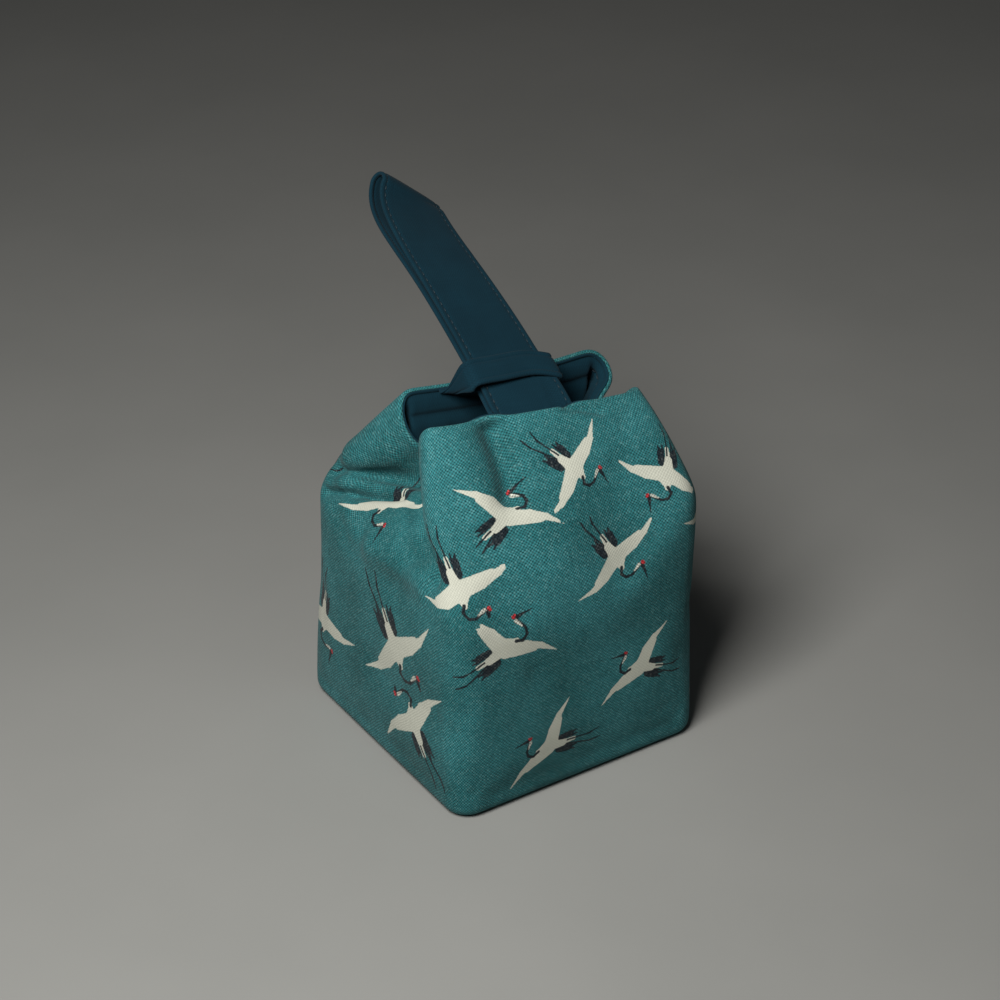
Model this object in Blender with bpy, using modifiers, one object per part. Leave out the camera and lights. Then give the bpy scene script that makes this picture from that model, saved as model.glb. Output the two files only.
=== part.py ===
"""Small cloth pouch: a square box base whose four walls gather into a long, narrow mouth.

The wall is one tube of cloth in three layers (outer canvas, padding, lining).  Its two side
panels fold inward at the mouth as gussets, so that the front panel stands over them as a
flange.  A wrist strap, sewn inside the front rim, passes under a keeper on the back rim.

Metres, +Z up, origin at the centre of the base on the floor.  The front faces -Y.
"""
import bpy
import bmesh
import numpy as np
from math import cos, sin, pi, radians

MM = 0.001

# base and walls
BASE_WIDTH = 100.0 * MM          # left to right
BASE_DEPTH = 100.0 * MM          # front to back
CORNER_RADIUS = 9.0 * MM         # wall corners in plan
ROLL_RADIUS = 4.6 * MM           # where the wall rolls under the base
SEAM_STRIP = 2.0 * MM            # flat strip of wall cloth under the base, up to the seam

# cloth build-up, from the outside in
OUTER_CLOTH = 1.0 * MM
PADDING_CLOTH = 1.7 * MM
LINING_CLOTH = 0.7 * MM
LAYER_GAP = 0.3 * MM             # clearance between layers and at every seam

# shoulders: height where each corner and panel leaves the vertical
SHOULDER_FRONT_LEFT = 77.0 * MM
SHOULDER_FRONT_RIGHT = 92.0 * MM
SHOULDER_BACK_RIGHT = 80.0 * MM
SHOULDER_BACK_LEFT = 82.0 * MM
SHOULDER_GUSSET = 80.0 * MM
SHOULDER_ROUNDING = 12.0 * MM    # length of cloth that turns from wall to roof
FLANGE_FOOT_LEAN = 11.0 * MM     # how far the left flange leans back over its foot
BACK_LEFT_PULL = (1.5 * MM, -3.3 * MM)   # the slack back left shoulder, drawn in

# mouth: centres of the four folds that the rim turns round, and their heights
FOLD_FRONT_LEFT = (-31.0 * MM, -5.6 * MM)
FOLD_FRONT_RIGHT = (39.2 * MM, -13.6 * MM)
FOLD_BACK_RIGHT = (42.6 * MM, 4.8 * MM)
FOLD_BACK_LEFT = (-27.2 * MM, 10.6 * MM)
FRONT_FOLD_RADIUS = 5.2 * MM
BACK_FOLD_RADIUS = 5.8 * MM
RIM_HEIGHT_LEFT = 130.0 * MM
RIM_HEIGHT_RIGHT = 124.8 * MM
BACK_RIM_SAG = 2.2 * MM          # the back rim hangs a little under the strap
FRONT_DENT = 2.6 * MM            # soft groove in the front panel beside the strap
FRONT_DENT_X = -13.0 * MM
FRONT_DENT_WIDTH = 11.0 * MM

# gussets: how far the side panels fold in from the flange and dip below the rim
LEFT_GUSSET_REACH = 15.0 * MM
LEFT_GUSSET_DROP = 29.0 * MM
RIGHT_GUSSET_REACH = 11.0 * MM
RIGHT_GUSSET_DROP = 20.0 * MM
FOLD_DROP_FRONT_LEFT = 11.0 * MM # how much the rim falls round each fold, to the gusset side
FOLD_DROP_FRONT_RIGHT = 7.0 * MM
FOLD_DROP_BACK_RIGHT = 9.0 * MM
FOLD_DROP_BACK_LEFT = 18.0 * MM

# wrist strap
STRAP_WIDTH = 28.0 * MM
STRAP_CLOTH = 1.8 * MM           # thickness of one leg
STRAP_LEG_GAP = 0.5 * MM         # between the two legs, where they lie together
STRAP_FOOT_X = 4.6 * MM          # middle of the strap along the front rim
STRAP_FOOT_LENGTH = 9.0 * MM     # sewn down inside the rim
STRAP_RISE = ((9.5 * MM, 36.6 * MM, 152.6 * MM), (7.0 * MM, 68.6 * MM, 160.0 * MM))
STRAP_TIP = (12.8 * MM, 75.2 * MM, 166.8 * MM)
STRAP_ROLL_FOOT = 4.5            # degrees of lean to one side, at the foot and at the tip
STRAP_ROLL_TIP = 23.5
STRAP_TIP_OPENING = 2.6 * MM     # extra space between the legs where the cloth turns over
STRAP_OPENING_LENGTH = 30.0 * MM # length over which the legs part below the tip

# strap keeper on the back rim
KEEPER_ALONG = 12.4 * MM         # along the strap, from the front rim to the keeper
KEEPER_WIDTH = 11.2 * MM
KEEPER_CLOTH = 1.8 * MM
KEEPER_CLEARANCE = 0.8 * MM      # above the strap
KEEPER_SIDE_PLAY = 2.8 * MM      # beside the strap
KEEPER_LEFT_BACK = (-15.4 * MM, 0.6 * MM)    # corners of its ends, sewn inside the back rim:
KEEPER_LEFT_FRONT = (-11.6 * MM, 4.8 * MM)   # place along the rim and depth below it
KEEPER_RIGHT_BACK = (27.6 * MM, 1.2 * MM)
KEEPER_RIGHT_FRONT = (25.6 * MM, 5.5 * MM)
KEEPER_OVER_RIM = 1.5 * MM       # clearance of the keeper's back edge over the rim
KEEPER_END_SLANT = 0.9 * MM      # room for the ends, which meet the lining at a slant
SEWN_GAP = 0.5 * MM              # between a sewn piece and the lining

AROUND_CORNER = 4                # faces round each corner
AROUND_SIDE = 9                  # faces along each panel
UP_ROLL = 2
UP_WALL = 3
UP_ROOF = 7

COLLECTION = "gusseted_wrist_pouch"


def clear_scene():
    for obj in list(bpy.data.objects):
        bpy.data.objects.remove(obj, do_unlink=True)


def collection(name):
    col = bpy.data.collections.new(name)
    bpy.context.scene.collection.children.link(col)
    return col


def material(name, colour, roughness):
    mat = bpy.data.materials.new(name)
    mat.use_nodes = True
    shader = mat.node_tree.nodes["Principled BSDF"]
    shader.inputs["Base Color"].default_value = (*colour, 1.0)
    shader.inputs["Roughness"].default_value = roughness
    shader.inputs["Metallic"].default_value = 0.0
    mat.diffuse_color = (*colour, 1.0)
    return mat


def unit(v):
    v = np.asarray(v, float)
    return v / np.linalg.norm(v, axis=-1, keepdims=True)


def smoothstep(t):
    t = np.clip(t, 0.0, 1.0)
    return t * t * (3.0 - 2.0 * t)


def rounded_rectangle(inset):
    """Plan outline of the box, one point per column, starting on the left panel's front end."""
    hx, hy = BASE_WIDTH / 2 - inset, BASE_DEPTH / 2 - inset
    r = max(CORNER_RADIUS - inset, 0.6 * MM)
    pts = []
    for cx, cy, start in ((-1, -1, 180), (1, -1, 270), (1, 1, 0), (-1, 1, 90)):
        for k in range(AROUND_CORNER + 1):
            a = radians(start + 90.0 * k / AROUND_CORNER)
            pts.append((cx * (hx - r) + r * cos(a), cy * (hy - r) + r * sin(a)))
        nx, ny = {(-1, -1): (1, -1), (1, -1): (1, 1), (1, 1): (-1, 1), (-1, 1): (-1, -1)}[(cx, cy)]
        end = radians(start + 90.0)
        a = np.array(pts[-1])
        b = np.array((nx * (hx - r) + r * cos(end), ny * (hy - r) + r * sin(end)))
        for k in range(1, AROUND_SIDE):
            pts.append(tuple(a + (b - a) * k / AROUND_SIDE))
    return np.array(pts)


def fold_arc(centre, radius, start, z_front, z_side, side_first):
    """Rim round one fold: a half turn from the gusset side to the panel side, or back."""
    pts = []
    for k in range(AROUND_CORNER + 1):
        t = k / AROUND_CORNER
        a = radians(start + 180.0 * t)
        s = smoothstep(t if side_first else 1.0 - t)
        pts.append((centre[0] + radius * cos(a), centre[1] + radius * sin(a),
                    z_side + (z_front - z_side) * s))
    return pts


def between(p, q, n, offset=None):
    """Points strictly between p and q, with an optional offset(t, point)."""
    p, q = np.array(p), np.array(q)
    out = []
    for k in range(1, n):
        t = k / n
        v = p + (q - p) * t
        out.append(tuple(v if offset is None else offset(t, v)))
    return out


def gusset(p, q, n, valley):
    """Rim of a side panel: from p in to the valley and out again to q, rounded at the turn."""
    p, q, v = np.array(p), np.array(q), np.array(valley)
    c1, c2 = v + (p - v) * 0.10, v + (q - v) * 0.10
    c1, c2 = c1 + (c1 - p) * 0.12, c2 + (c2 - q) * 0.12
    out = []
    for k in range(1, n):
        t = k / n
        u = 1.0 - t
        out.append(tuple(u**3 * p + 3 * u * u * t * c1 + 3 * u * t * t * c2 + t**3 * q))
    return out


def rim_line():
    """The mouth's rim, one point per column, in step with rounded_rectangle()."""
    zl, zr = RIM_HEIGHT_LEFT, RIM_HEIGHT_RIGHT
    fl = fold_arc(FOLD_FRONT_LEFT, FRONT_FOLD_RADIUS, 90, zl, zl - FOLD_DROP_FRONT_LEFT, True)
    fr = fold_arc(FOLD_FRONT_RIGHT, FRONT_FOLD_RADIUS, 270, zr, zr - FOLD_DROP_FRONT_RIGHT, False)
    br = fold_arc(FOLD_BACK_RIGHT, BACK_FOLD_RADIUS, 270, zr + BACK_RIM_SAG, zr - FOLD_DROP_BACK_RIGHT,
                  True)
    bl = fold_arc(FOLD_BACK_LEFT, BACK_FOLD_RADIUS, 90, zl, zl - FOLD_DROP_BACK_LEFT, False)

    def dent(t, v):
        w = np.exp(-((v[0] - FRONT_DENT_X) / FRONT_DENT_WIDTH) ** 2)
        bulge = sin(pi * t)
        return v + np.array((0.0, FRONT_DENT * w - 1.2 * MM * bulge, -0.5 * FRONT_DENT * w))

    def sag(t, v):
        return v - np.array((0.0, 0.0, BACK_RIM_SAG * sin(pi * t)))

    front = between(fl[-1], fr[0], AROUND_SIDE, dent)
    back = between(br[-1], bl[0], AROUND_SIDE, sag)
    right_valley = (FOLD_FRONT_RIGHT[0] - RIGHT_GUSSET_REACH,
                    (FOLD_FRONT_RIGHT[1] + FRONT_FOLD_RADIUS + FOLD_BACK_RIGHT[1] - BACK_FOLD_RADIUS) / 2,
                    zr - RIGHT_GUSSET_DROP)
    left_valley = (FOLD_FRONT_LEFT[0] + LEFT_GUSSET_REACH,
                   (FOLD_FRONT_LEFT[1] + FRONT_FOLD_RADIUS + FOLD_BACK_LEFT[1] - BACK_FOLD_RADIUS) / 2,
                   zl - LEFT_GUSSET_DROP)
    right = gusset(fr[-1], br[0], AROUND_SIDE, right_valley)
    left = gusset(bl[-1], fl[0], AROUND_SIDE, left_valley)
    return np.array(fl + front + fr + right + br + back + bl + left)


def around_blend(values):
    """Corner values, each held round its corner, blended along the panels: one per column."""
    out = []
    n = len(values)
    for c in range(n):
        out += [values[c][0]] * (AROUND_CORNER + 1)
        nxt, mid = values[(c + 1) % n][0], values[c][1]
        for k in range(1, AROUND_SIDE):
            t = k / AROUND_SIDE
            base = np.asarray(values[c][0]) * (1 - t) + np.asarray(nxt) * t
            w = sin(pi * t) ** 2
            out.append(base * (1 - w) + np.asarray(mid) * w)
    return np.array(out)


def wall_surface():
    """Outer face of the wall: rows of points from the base seam up to the rim."""
    edge = rounded_rectangle(0.0)
    rows = [np.c_[rounded_rectangle(ROLL_RADIUS + SEAM_STRIP), np.zeros(len(edge))]]
    for k in range(UP_ROLL + 1):
        a = 0.5 * pi * k / UP_ROLL
        inset = ROLL_RADIUS * (1 - sin(a))
        rows.append(np.c_[rounded_rectangle(inset), np.full(len(edge), ROLL_RADIUS * (1 - cos(a)))])
    side = SHOULDER_GUSSET
    shoulder = around_blend([
        (SHOULDER_FRONT_LEFT, (SHOULDER_FRONT_LEFT + SHOULDER_FRONT_RIGHT) / 2),
        (SHOULDER_FRONT_RIGHT, side),
        (SHOULDER_BACK_RIGHT, (SHOULDER_BACK_RIGHT + SHOULDER_BACK_LEFT) / 2),
        (SHOULDER_BACK_LEFT, side)])
    zero = np.zeros(2)
    pull = around_blend([(zero, zero), (zero, zero), (zero, zero),
                         (np.array(BACK_LEFT_PULL), np.array(BACK_LEFT_PULL) / 2)])
    for k in range(1, UP_WALL + 1):
        t = k / UP_WALL
        rows.append(np.c_[edge + pull * smoothstep(t), ROLL_RADIUS + (shoulder - ROLL_RADIUS) * t])
    low = rows[-1]
    rim = rim_line()
    lean = MM * around_blend([
        (np.array((6.0, 9.0, 15.0)), np.array((0.0, 15.0, 12.0))),
        (np.array((-2.0, 12.0, 8.0)), np.array((-14.0, 0.0, 6.0))),
        (np.array((-3.0, -12.0, 12.0)), np.array((0.0, -13.0, 13.0))),
        (np.array((4.0, -11.0, 13.0)), np.array((16.0, 0.0, 5.0)))])
    foot = around_blend([(np.array((0.0, FLANGE_FOOT_LEAN)), zero), (zero, zero), (zero, zero),
                         (zero, zero)])
    c1 = low + np.c_[foot, np.full(len(edge), SHOULDER_ROUNDING)]
    c2 = rim - lean
    for k in range(1, UP_ROOF + 1):
        t = k / UP_ROOF
        u = 1 - t
        rows.append(u**3 * low + 3 * u * u * t * c1 + 3 * u * t * t * c2 + t**3 * rim)
    return np.array(rows)


def sheet_normals(rows):
    """Outward unit normals of a closed sheet of rows."""
    du = np.roll(rows, -1, axis=1) - np.roll(rows, 1, axis=1)
    dv = np.gradient(rows, axis=0)
    return unit(np.cross(du, dv))


def wall_depth():
    """From the outer face of the wall to its lining's inner face."""
    return OUTER_CLOTH + PADDING_CLOTH + LINING_CLOTH + 2 * LAYER_GAP


def inside_wall(rows, panel, x, below_rim, depth):
    """Point at plan position x on the front or back panel, below the rim and inside the wall."""
    corner = AROUND_CORNER + AROUND_SIDE
    first = AROUND_CORNER if panel == "front" else 2 * corner + AROUND_CORNER
    cols = np.arange(first, first + AROUND_SIDE + 1)
    normals = sheet_normals(rows)
    line = rows[:, cols]
    norm = normals[:, cols]
    order = np.argsort(line[-1, :, 0])

    def at_x(j, values):
        return np.array([np.interp(x, line[-1, order, 0], values[j, order, c]) for c in range(3)])

    column = np.array([at_x(j, line) for j in range(len(rows))])
    column_n = np.array([at_x(j, norm) for j in range(len(rows))])
    run = np.r_[0.0, np.cumsum(np.linalg.norm(np.diff(column[::-1], axis=0), axis=1))]
    p = np.array([np.interp(below_rim, run, column[::-1, c]) for c in range(3)])
    n = unit(np.array([np.interp(below_rim, run, column_n[::-1, c]) for c in range(3)]))
    return p - n * depth, n


def over_rim(rows, panel, x, depth, above):
    """Point above the rim, in line with the wall."""
    p, _ = inside_wall(rows, panel, x, 0.0, depth)
    q, _ = inside_wall(rows, panel, x, 3.0 * MM, depth)
    return p + unit(p - q) * above


def strap_frames(rows, count):
    """Upper face of the strap's upper leg: centre, run, width and face directions."""
    foot, _ = inside_wall(rows, "front", STRAP_FOOT_X, 0.0, wall_depth() + SEWN_GAP)
    p = [foot, np.array(STRAP_RISE[0]), np.array(STRAP_RISE[1]), np.array(STRAP_TIP)]
    out = []
    for k in range(count + 1):
        t = k / count
        u = 1 - t
        c = u**3 * p[0] + 3 * u * u * t * p[1] + 3 * u * t * t * p[2] + t**3 * p[3]
        d = unit(u * u * (p[1] - p[0]) + 2 * u * t * (p[2] - p[1]) + t * t * (p[3] - p[2]))
        roll = radians(STRAP_ROLL_FOOT + (STRAP_ROLL_TIP - STRAP_ROLL_FOOT) * t)
        x = np.array((1.0, 0.0, 0.0))
        level = unit(x - d * (d @ x))
        rise = np.cross(level, d)
        width = level * cos(roll) - rise * sin(roll)
        out.append((c, d, width, np.cross(width, d)))
    return out


STRAP_ROWS = 12
STRAP_FOOT_ROWS = 3
STRAP_TIP_ROWS = 6
STRAP_ACROSS = (-0.5, -0.25, 0.0, 0.25, 0.5)


def wrist_strap(rows, col, mat):
    """A folded loop of webbing: down inside the front rim, up over the mouth and back."""
    frames = strap_frames(rows, STRAP_ROWS)
    leg = STRAP_CLOTH + STRAP_LEG_GAP
    length = sum(np.linalg.norm(b[0] - a[0]) for a, b in zip(frames, frames[1:]))
    upper, lower = [], []
    for k in range(STRAP_FOOT_ROWS, 0, -1):
        below = STRAP_FOOT_LENGTH * k / STRAP_FOOT_ROWS
        a, b = [], []
        for s in STRAP_ACROSS:
            x = STRAP_FOOT_X + s * STRAP_WIDTH
            p, n = inside_wall(rows, "front", x, below, wall_depth() + SEWN_GAP + STRAP_CLOTH / 2)
            a.append(p)
            b.append(p - n * leg)
        upper.append(a)
        lower.append(b)
    for k, (c, d, w, n) in enumerate(frames):
        t = k / STRAP_ROWS
        opening = STRAP_TIP_OPENING * smoothstep(1 - (1 - t) * length / STRAP_OPENING_LENGTH)
        mid = c - n * STRAP_CLOTH / 2
        a = [mid + w * (s * STRAP_WIDTH) for s in STRAP_ACROSS]
        if k < 3:
            hold = (1.0, 0.25, 0.0)[k]
            for i, s in enumerate(STRAP_ACROSS):
                x = STRAP_FOOT_X + s * STRAP_WIDTH
                p, m = inside_wall(rows, "front", x, 0.0, wall_depth() + SEWN_GAP + STRAP_CLOTH / 2)
                q, _ = inside_wall(rows, "front", STRAP_FOOT_X, 0.0,
                                   wall_depth() + SEWN_GAP + STRAP_CLOTH / 2)
                a[i] = a[i] * (1 - hold) + (mid + (p - q)) * hold
        upper.append(a)
        lower.append([p - n * (leg + opening) for p in a])
    c, d, w, n = frames[-1]
    radius = (leg + STRAP_TIP_OPENING) / 2
    tip = []
    for k in range(1, STRAP_TIP_ROWS):
        a = pi * k / STRAP_TIP_ROWS
        tip.append([p - n * radius * (1 - cos(a)) + d * radius * sin(a) for p in upper[-1]])
    path = np.array(upper + tip + lower[::-1])
    obj = surface_object("wrist_strap", path[:, ::-1], False, col, mat)
    mod = obj.modifiers.new("cloth", "SOLIDIFY")
    mod.thickness = STRAP_CLOTH
    mod.offset = 0.0
    return obj


def strap_keeper(rows, col, mat):
    """A band across the strap, its ends sewn inside the back rim at each side."""
    count = 60
    frames = strap_frames(rows, count)
    run = np.r_[0.0, np.cumsum([np.linalg.norm(b[0] - a[0]) for a, b in zip(frames, frames[1:])])]

    def on_strap(along, across, above):
        k = int(round(np.interp(along, run, np.arange(count + 1))))
        c, d, w, n = frames[k]
        return c + w * across + n * above

    lift = KEEPER_CLEARANCE
    half = STRAP_WIDTH / 2
    near, far = KEEPER_ALONG, KEEPER_ALONG + KEEPER_WIDTH
    middle = KEEPER_CLOTH / 2
    depth = wall_depth() + SEWN_GAP + KEEPER_END_SLANT + middle
    left_back, left_front, right_back, right_front = (
        inside_wall(rows, "back", x, below, depth)[0]
        for x, below in (KEEPER_LEFT_BACK, KEEPER_LEFT_FRONT, KEEPER_RIGHT_BACK, KEEPER_RIGHT_FRONT))
    side = half + KEEPER_SIDE_PLAY
    band = []
    for across, above in ((-side - 0.6 * MM, -3.0 * MM), (-side, -0.7 * MM), (-half - 0.9 * MM, lift),
                          (-half * 0.45, lift), (half * 0.45, lift), (half + 0.9 * MM, lift),
                          (side, -0.7 * MM), (side + 0.6 * MM, -3.0 * MM)):
        band.append((on_strap(near, across, above + middle), on_strap(far, across, above + middle)))
    clear = KEEPER_OVER_RIM + middle
    left_over = over_rim(rows, "back", (KEEPER_LEFT_BACK[0] + band[0][1][0]) / 2, wall_depth() * 0.6, clear)
    right_over = over_rim(rows, "back", (KEEPER_RIGHT_BACK[0] + band[-1][1][0]) / 2,
                          wall_depth() * 0.6, clear)
    stations = [(left_front, left_back), ((left_front + band[0][0]) / 2, left_over)] + band
    stations += [((right_front + band[-1][0]) / 2, right_over), (right_front, right_back)]
    sheet = []
    for a, b in stations:
        sheet.append([a, (a + b) / 2, b])
    obj = surface_object("strap_keeper", np.array(sheet)[:, ::-1], False, col, mat)
    mod = obj.modifiers.new("cloth", "SOLIDIFY")
    mod.thickness = KEEPER_CLOTH
    mod.offset = 0.0
    return obj


def surface_object(name, rows, closed, col, mat):
    """Open sheet of quads through rows of points, smooth shaded."""
    bm = bmesh.new()
    nv, nu = rows.shape[:2]
    verts = [[bm.verts.new(p) for p in row] for row in rows]
    last = nu if closed else nu - 1
    for j in range(nv - 1):
        for i in range(last):
            k = (i + 1) % nu
            bm.faces.new((verts[j][i], verts[j][k], verts[j + 1][k], verts[j + 1][i]))
    mesh = bpy.data.meshes.new(name)
    bm.to_mesh(mesh)
    bm.free()
    mesh.shade_smooth()
    obj = bpy.data.objects.new(name, mesh)
    obj.data.materials.append(mat)
    col.objects.link(obj)
    return obj


def solidify(obj, depth, thickness):
    """Cloth layer between depth and depth + thickness below the sheet's outer face."""
    mod = obj.modifiers.new("cloth", "SOLIDIFY")
    mod.thickness = thickness
    mod.offset = -1.0 - 2.0 * depth / thickness
    mod.use_even_offset = False
    mod.use_rim = True
    return obj


def base_plate(name, bottom, thickness, col, mat):
    """Base panel, set inside the wall's seam strip with the seam clearance round it."""
    inset = ROLL_RADIUS + SEAM_STRIP + LAYER_GAP
    outline = rounded_rectangle(inset)
    bm = bmesh.new()
    bm.faces.new([bm.verts.new((x, y, bottom)) for x, y in outline])
    mesh = bpy.data.meshes.new(name)
    bm.to_mesh(mesh)
    bm.free()
    obj = bpy.data.objects.new(name, mesh)
    obj.data.materials.append(mat)
    col.objects.link(obj)
    mod = obj.modifiers.new("cloth", "SOLIDIFY")
    mod.thickness = thickness
    mod.offset = 1.0
    return obj


def build():
    clear_scene()
    col = collection(COLLECTION)
    canvas = material("teal_canvas", (0.075, 0.29, 0.31), 0.85)
    padding = material("white_fleece", (0.80, 0.79, 0.75), 0.95)
    lining = material("petrol_lining", (0.018, 0.105, 0.145), 0.85)
    tape = material("petrol_strap", (0.022, 0.125, 0.165), 0.8)

    rows = wall_surface()
    pad_depth = OUTER_CLOTH + LAYER_GAP
    lining_depth = pad_depth + PADDING_CLOTH + LAYER_GAP
    solidify(surface_object("outer_wall", rows, True, col, canvas), 0.0, OUTER_CLOTH)
    solidify(surface_object("wall_padding", rows, True, col, padding), pad_depth, PADDING_CLOTH)
    solidify(surface_object("lining_wall", rows, True, col, lining), lining_depth, LINING_CLOTH)
    wrist_strap(rows, col, tape)
    strap_keeper(rows, col, tape)
    base_plate("outer_base", 0.0, OUTER_CLOTH, col, canvas)
    base_plate("base_padding", pad_depth, PADDING_CLOTH, col, padding)
    base_plate("lining_base", lining_depth, LINING_CLOTH, col, lining)


build()
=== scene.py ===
# %% [markdown]
# # A padded kinchaku pouch
#
# The real object is a small cloth pouch: a printed canvas outside, soft fleece in the
# middle and plain petrol cotton inside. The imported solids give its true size. This lesson
# dresses them: every solid of cloth is replaced by a finer piece that follows the same
# form, then cloth, print, thread and light are made with nodes.

import bpy
import bmesh
import numpy as np
from math import pi, sin, cos, radians
from mathutils import Vector, Matrix


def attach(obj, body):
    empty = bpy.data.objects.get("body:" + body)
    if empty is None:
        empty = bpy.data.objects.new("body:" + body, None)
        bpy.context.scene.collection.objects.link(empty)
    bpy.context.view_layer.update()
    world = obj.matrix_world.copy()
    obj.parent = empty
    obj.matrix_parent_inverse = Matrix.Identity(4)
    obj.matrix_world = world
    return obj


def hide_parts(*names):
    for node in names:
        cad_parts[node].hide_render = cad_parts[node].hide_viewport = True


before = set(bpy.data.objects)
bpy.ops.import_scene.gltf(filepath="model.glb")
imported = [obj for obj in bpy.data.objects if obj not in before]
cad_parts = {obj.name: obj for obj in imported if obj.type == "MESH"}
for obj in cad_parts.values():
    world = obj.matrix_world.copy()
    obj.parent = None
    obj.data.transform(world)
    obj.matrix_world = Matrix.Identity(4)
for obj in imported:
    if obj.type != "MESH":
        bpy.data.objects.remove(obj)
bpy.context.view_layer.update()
MM = 0.001
print("solids:", sorted(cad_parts))

# %% [markdown]
# ## Small helpers
#
# Colours are written the way a paint chart or a web page gives them, as sRGB hex. Blender
# mixes light in linear values, so one function turns one into the other. Another adds a
# node with its settings and its links, which keeps each material readable. The last three
# start a material and put objects in the scene.

# %% Colour and node helpers


def hex_linear(code):
    """sRGB hex to the linear colour that a shader wants."""
    out = []
    for k in (0, 2, 4):
        c = int(code.lstrip("#")[k:k + 2], 16) / 255.0
        out.append(c / 12.92 if c <= 0.04045 else ((c + 0.055) / 1.055) ** 2.4)
    return (*out, 1.0)


def feed(tree, node, links):
    """Links each source, a socket or a node's first output in use, to a socket of the node."""
    for key, source in links.items():
        if hasattr(source, "outputs"):
            source = next(s for s in source.outputs if s.enabled)
        tree.links.new(source, node.inputs[key])


def add(tree, kind, settings=None, links=None):
    """Adds one node. A second word in kind is its operation or its data type. Settings name
    its properties or sockets, with colours in hex, and links feed its sockets."""
    kind, _, mode = kind.partition(" ")
    node = tree.nodes.new(kind if kind.startswith("Node") else "ShaderNode" + kind)
    if mode:
        setattr(node, "data_type" if kind == "Mix" else "operation", mode)
    for key, value in (settings or {}).items():
        if isinstance(value, str) and value.startswith("#"):
            value = hex_linear(value)
        if isinstance(key, int) or key in node.inputs:
            node.inputs[key].default_value = value
        else:
            setattr(node, key, value)
    feed(tree, node, links or {})
    return node


def new_material(name, values):
    """A material, its tree and its Principled shader, whose sockets take the values."""
    mat = bpy.data.materials.new(name)
    mat.use_nodes = True
    shader = mat.node_tree.nodes["Principled BSDF"]
    for key, value in values.items():
        shader.inputs[key].default_value = value
    return mat, mat.node_tree, shader


def put(name, data):
    """A new object in the scene, at the origin."""
    obj = bpy.data.objects.new(name, data)
    bpy.context.scene.collection.objects.link(obj)
    return obj


def finish_mesh(name, bm):
    """Turns a bmesh into a smooth mesh object."""
    mesh = bpy.data.meshes.new(name)
    bm.to_mesh(mesh)
    bm.free()
    mesh.shade_smooth()
    return put(name, mesh)


print("mid teal #3F8589 in linear:", [round(c, 3) for c in hex_linear("#3F8589")])

# %% [markdown]
# ## The camera
#
# The photograph looks down on the pouch from its front left, about 31 degrees above the
# horizon, through a short telephoto lens. A long lens keeps the box's sides nearly
# parallel, which is what makes a product picture look calm.

# %% Camera
LOOK_FROM = Vector((-0.4454, -0.6772, 0.5805))
LOOK_BACK = Vector((-0.46861, -0.71340, 0.52101))   # from the pouch towards the lens
camera_data = bpy.data.cameras.new("camera")
camera_data.lens = 100.8
camera_data.sensor_width = 36.0
camera_data.clip_end = 20.0
camera = put("camera", camera_data)
camera.location = LOOK_FROM
camera.rotation_euler = (-LOOK_BACK).to_track_quat("-Z", "Y").to_euler()
bpy.context.scene.camera = camera
print("camera stands", round(LOOK_FROM.length * 1000), "mm from the base's centre")

# %% [markdown]
# ## Floor and light
#
# A plain pale sweep stands in for the studio table. It is one sheet that curves up behind
# the pouch, so there is no horizon line. A grid bent by one function makes it.

# %% Pale sweep
SWEEP_LENGTH, SWEEP_FRONT, SWEEP_FLAT, SWEEP_WIDTH = 5.2, 1.6, 1.4, 7.0     # m
CAMERA_TURN = radians(33.3)      # the sweep is turned towards the camera


def studio_sweep():
    """Flat to SWEEP_FLAT, then a quarter turn of 1 m radius, then upright."""
    bm = bmesh.new()
    bmesh.ops.create_grid(bm, x_segments=2, y_segments=48, size=0.5)
    for v in bm.verts:
        run = (v.co.y + 0.5) * SWEEP_LENGTH - SWEEP_FRONT
        bend = max(0.0, run - SWEEP_FLAT)
        angle, rise = min(bend, pi / 2), max(0.0, bend - pi / 2)
        v.co = Vector((v.co.x * SWEEP_WIDTH, min(run, SWEEP_FLAT) + sin(angle),
                       1.0 - cos(angle) + rise))
    bmesh.ops.transform(bm, matrix=Matrix.Rotation(CAMERA_TURN, 4, "Z"), verts=bm.verts)
    obj = finish_mesh("studio_sweep", bm)
    return obj


sweep = studio_sweep()
mat, tree, shader = new_material("painted_table", {"Roughness": 0.75})
space = add(tree, "TexCoord").outputs["Object"]
cloud = add(tree, "TexNoise", {"Scale": 9.0, "Detail": 5.0}, {"Vector": space})
tone = add(tree, "Mix RGBA", {6: "#939492", 7: "#A1A19F"}, {0: cloud})
feed(tree, shader, {"Base Color": tone})
sweep.data.materials.append(mat)
print("sweep:", len(sweep.data.polygons), "faces")

# %% [markdown]
# The light in the picture is a big soft window high on the left, with a weak fill from
# everywhere. Large area lamps give such soft edges; their size does more than their power.

# %% Lamps and sky


def soft_lamp(name, where, aim, size, power, tint):
    data = bpy.data.lights.new(name, "AREA")
    data.shape, data.size, data.energy = "SQUARE", size, power
    data.color = hex_linear(tint)[:3]
    lamp = put(name, data)
    lamp.location = where
    lamp.rotation_euler = (Vector(where) - Vector(aim)).to_track_quat("Z", "Y").to_euler()


soft_lamp("window_left", (-0.34, -0.22, 0.56), (0.0, 0.0, 0.1), 0.26, 4.5, "#FFFDF8")
soft_lamp("fill_front", (-0.2, -1.3, 0.9), (0, 0, 0.08), 1.0, 0.1, "#FFFFFF")
world = bpy.data.worlds.new("sky")
world.use_nodes = True
sky = world.node_tree.nodes["Background"]
sky.inputs["Color"].default_value = hex_linear("#EDF0F2")
sky.inputs["Strength"].default_value = 0.03
bpy.context.scene.world = world
bpy.context.scene.view_settings.view_transform = "Standard"

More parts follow.
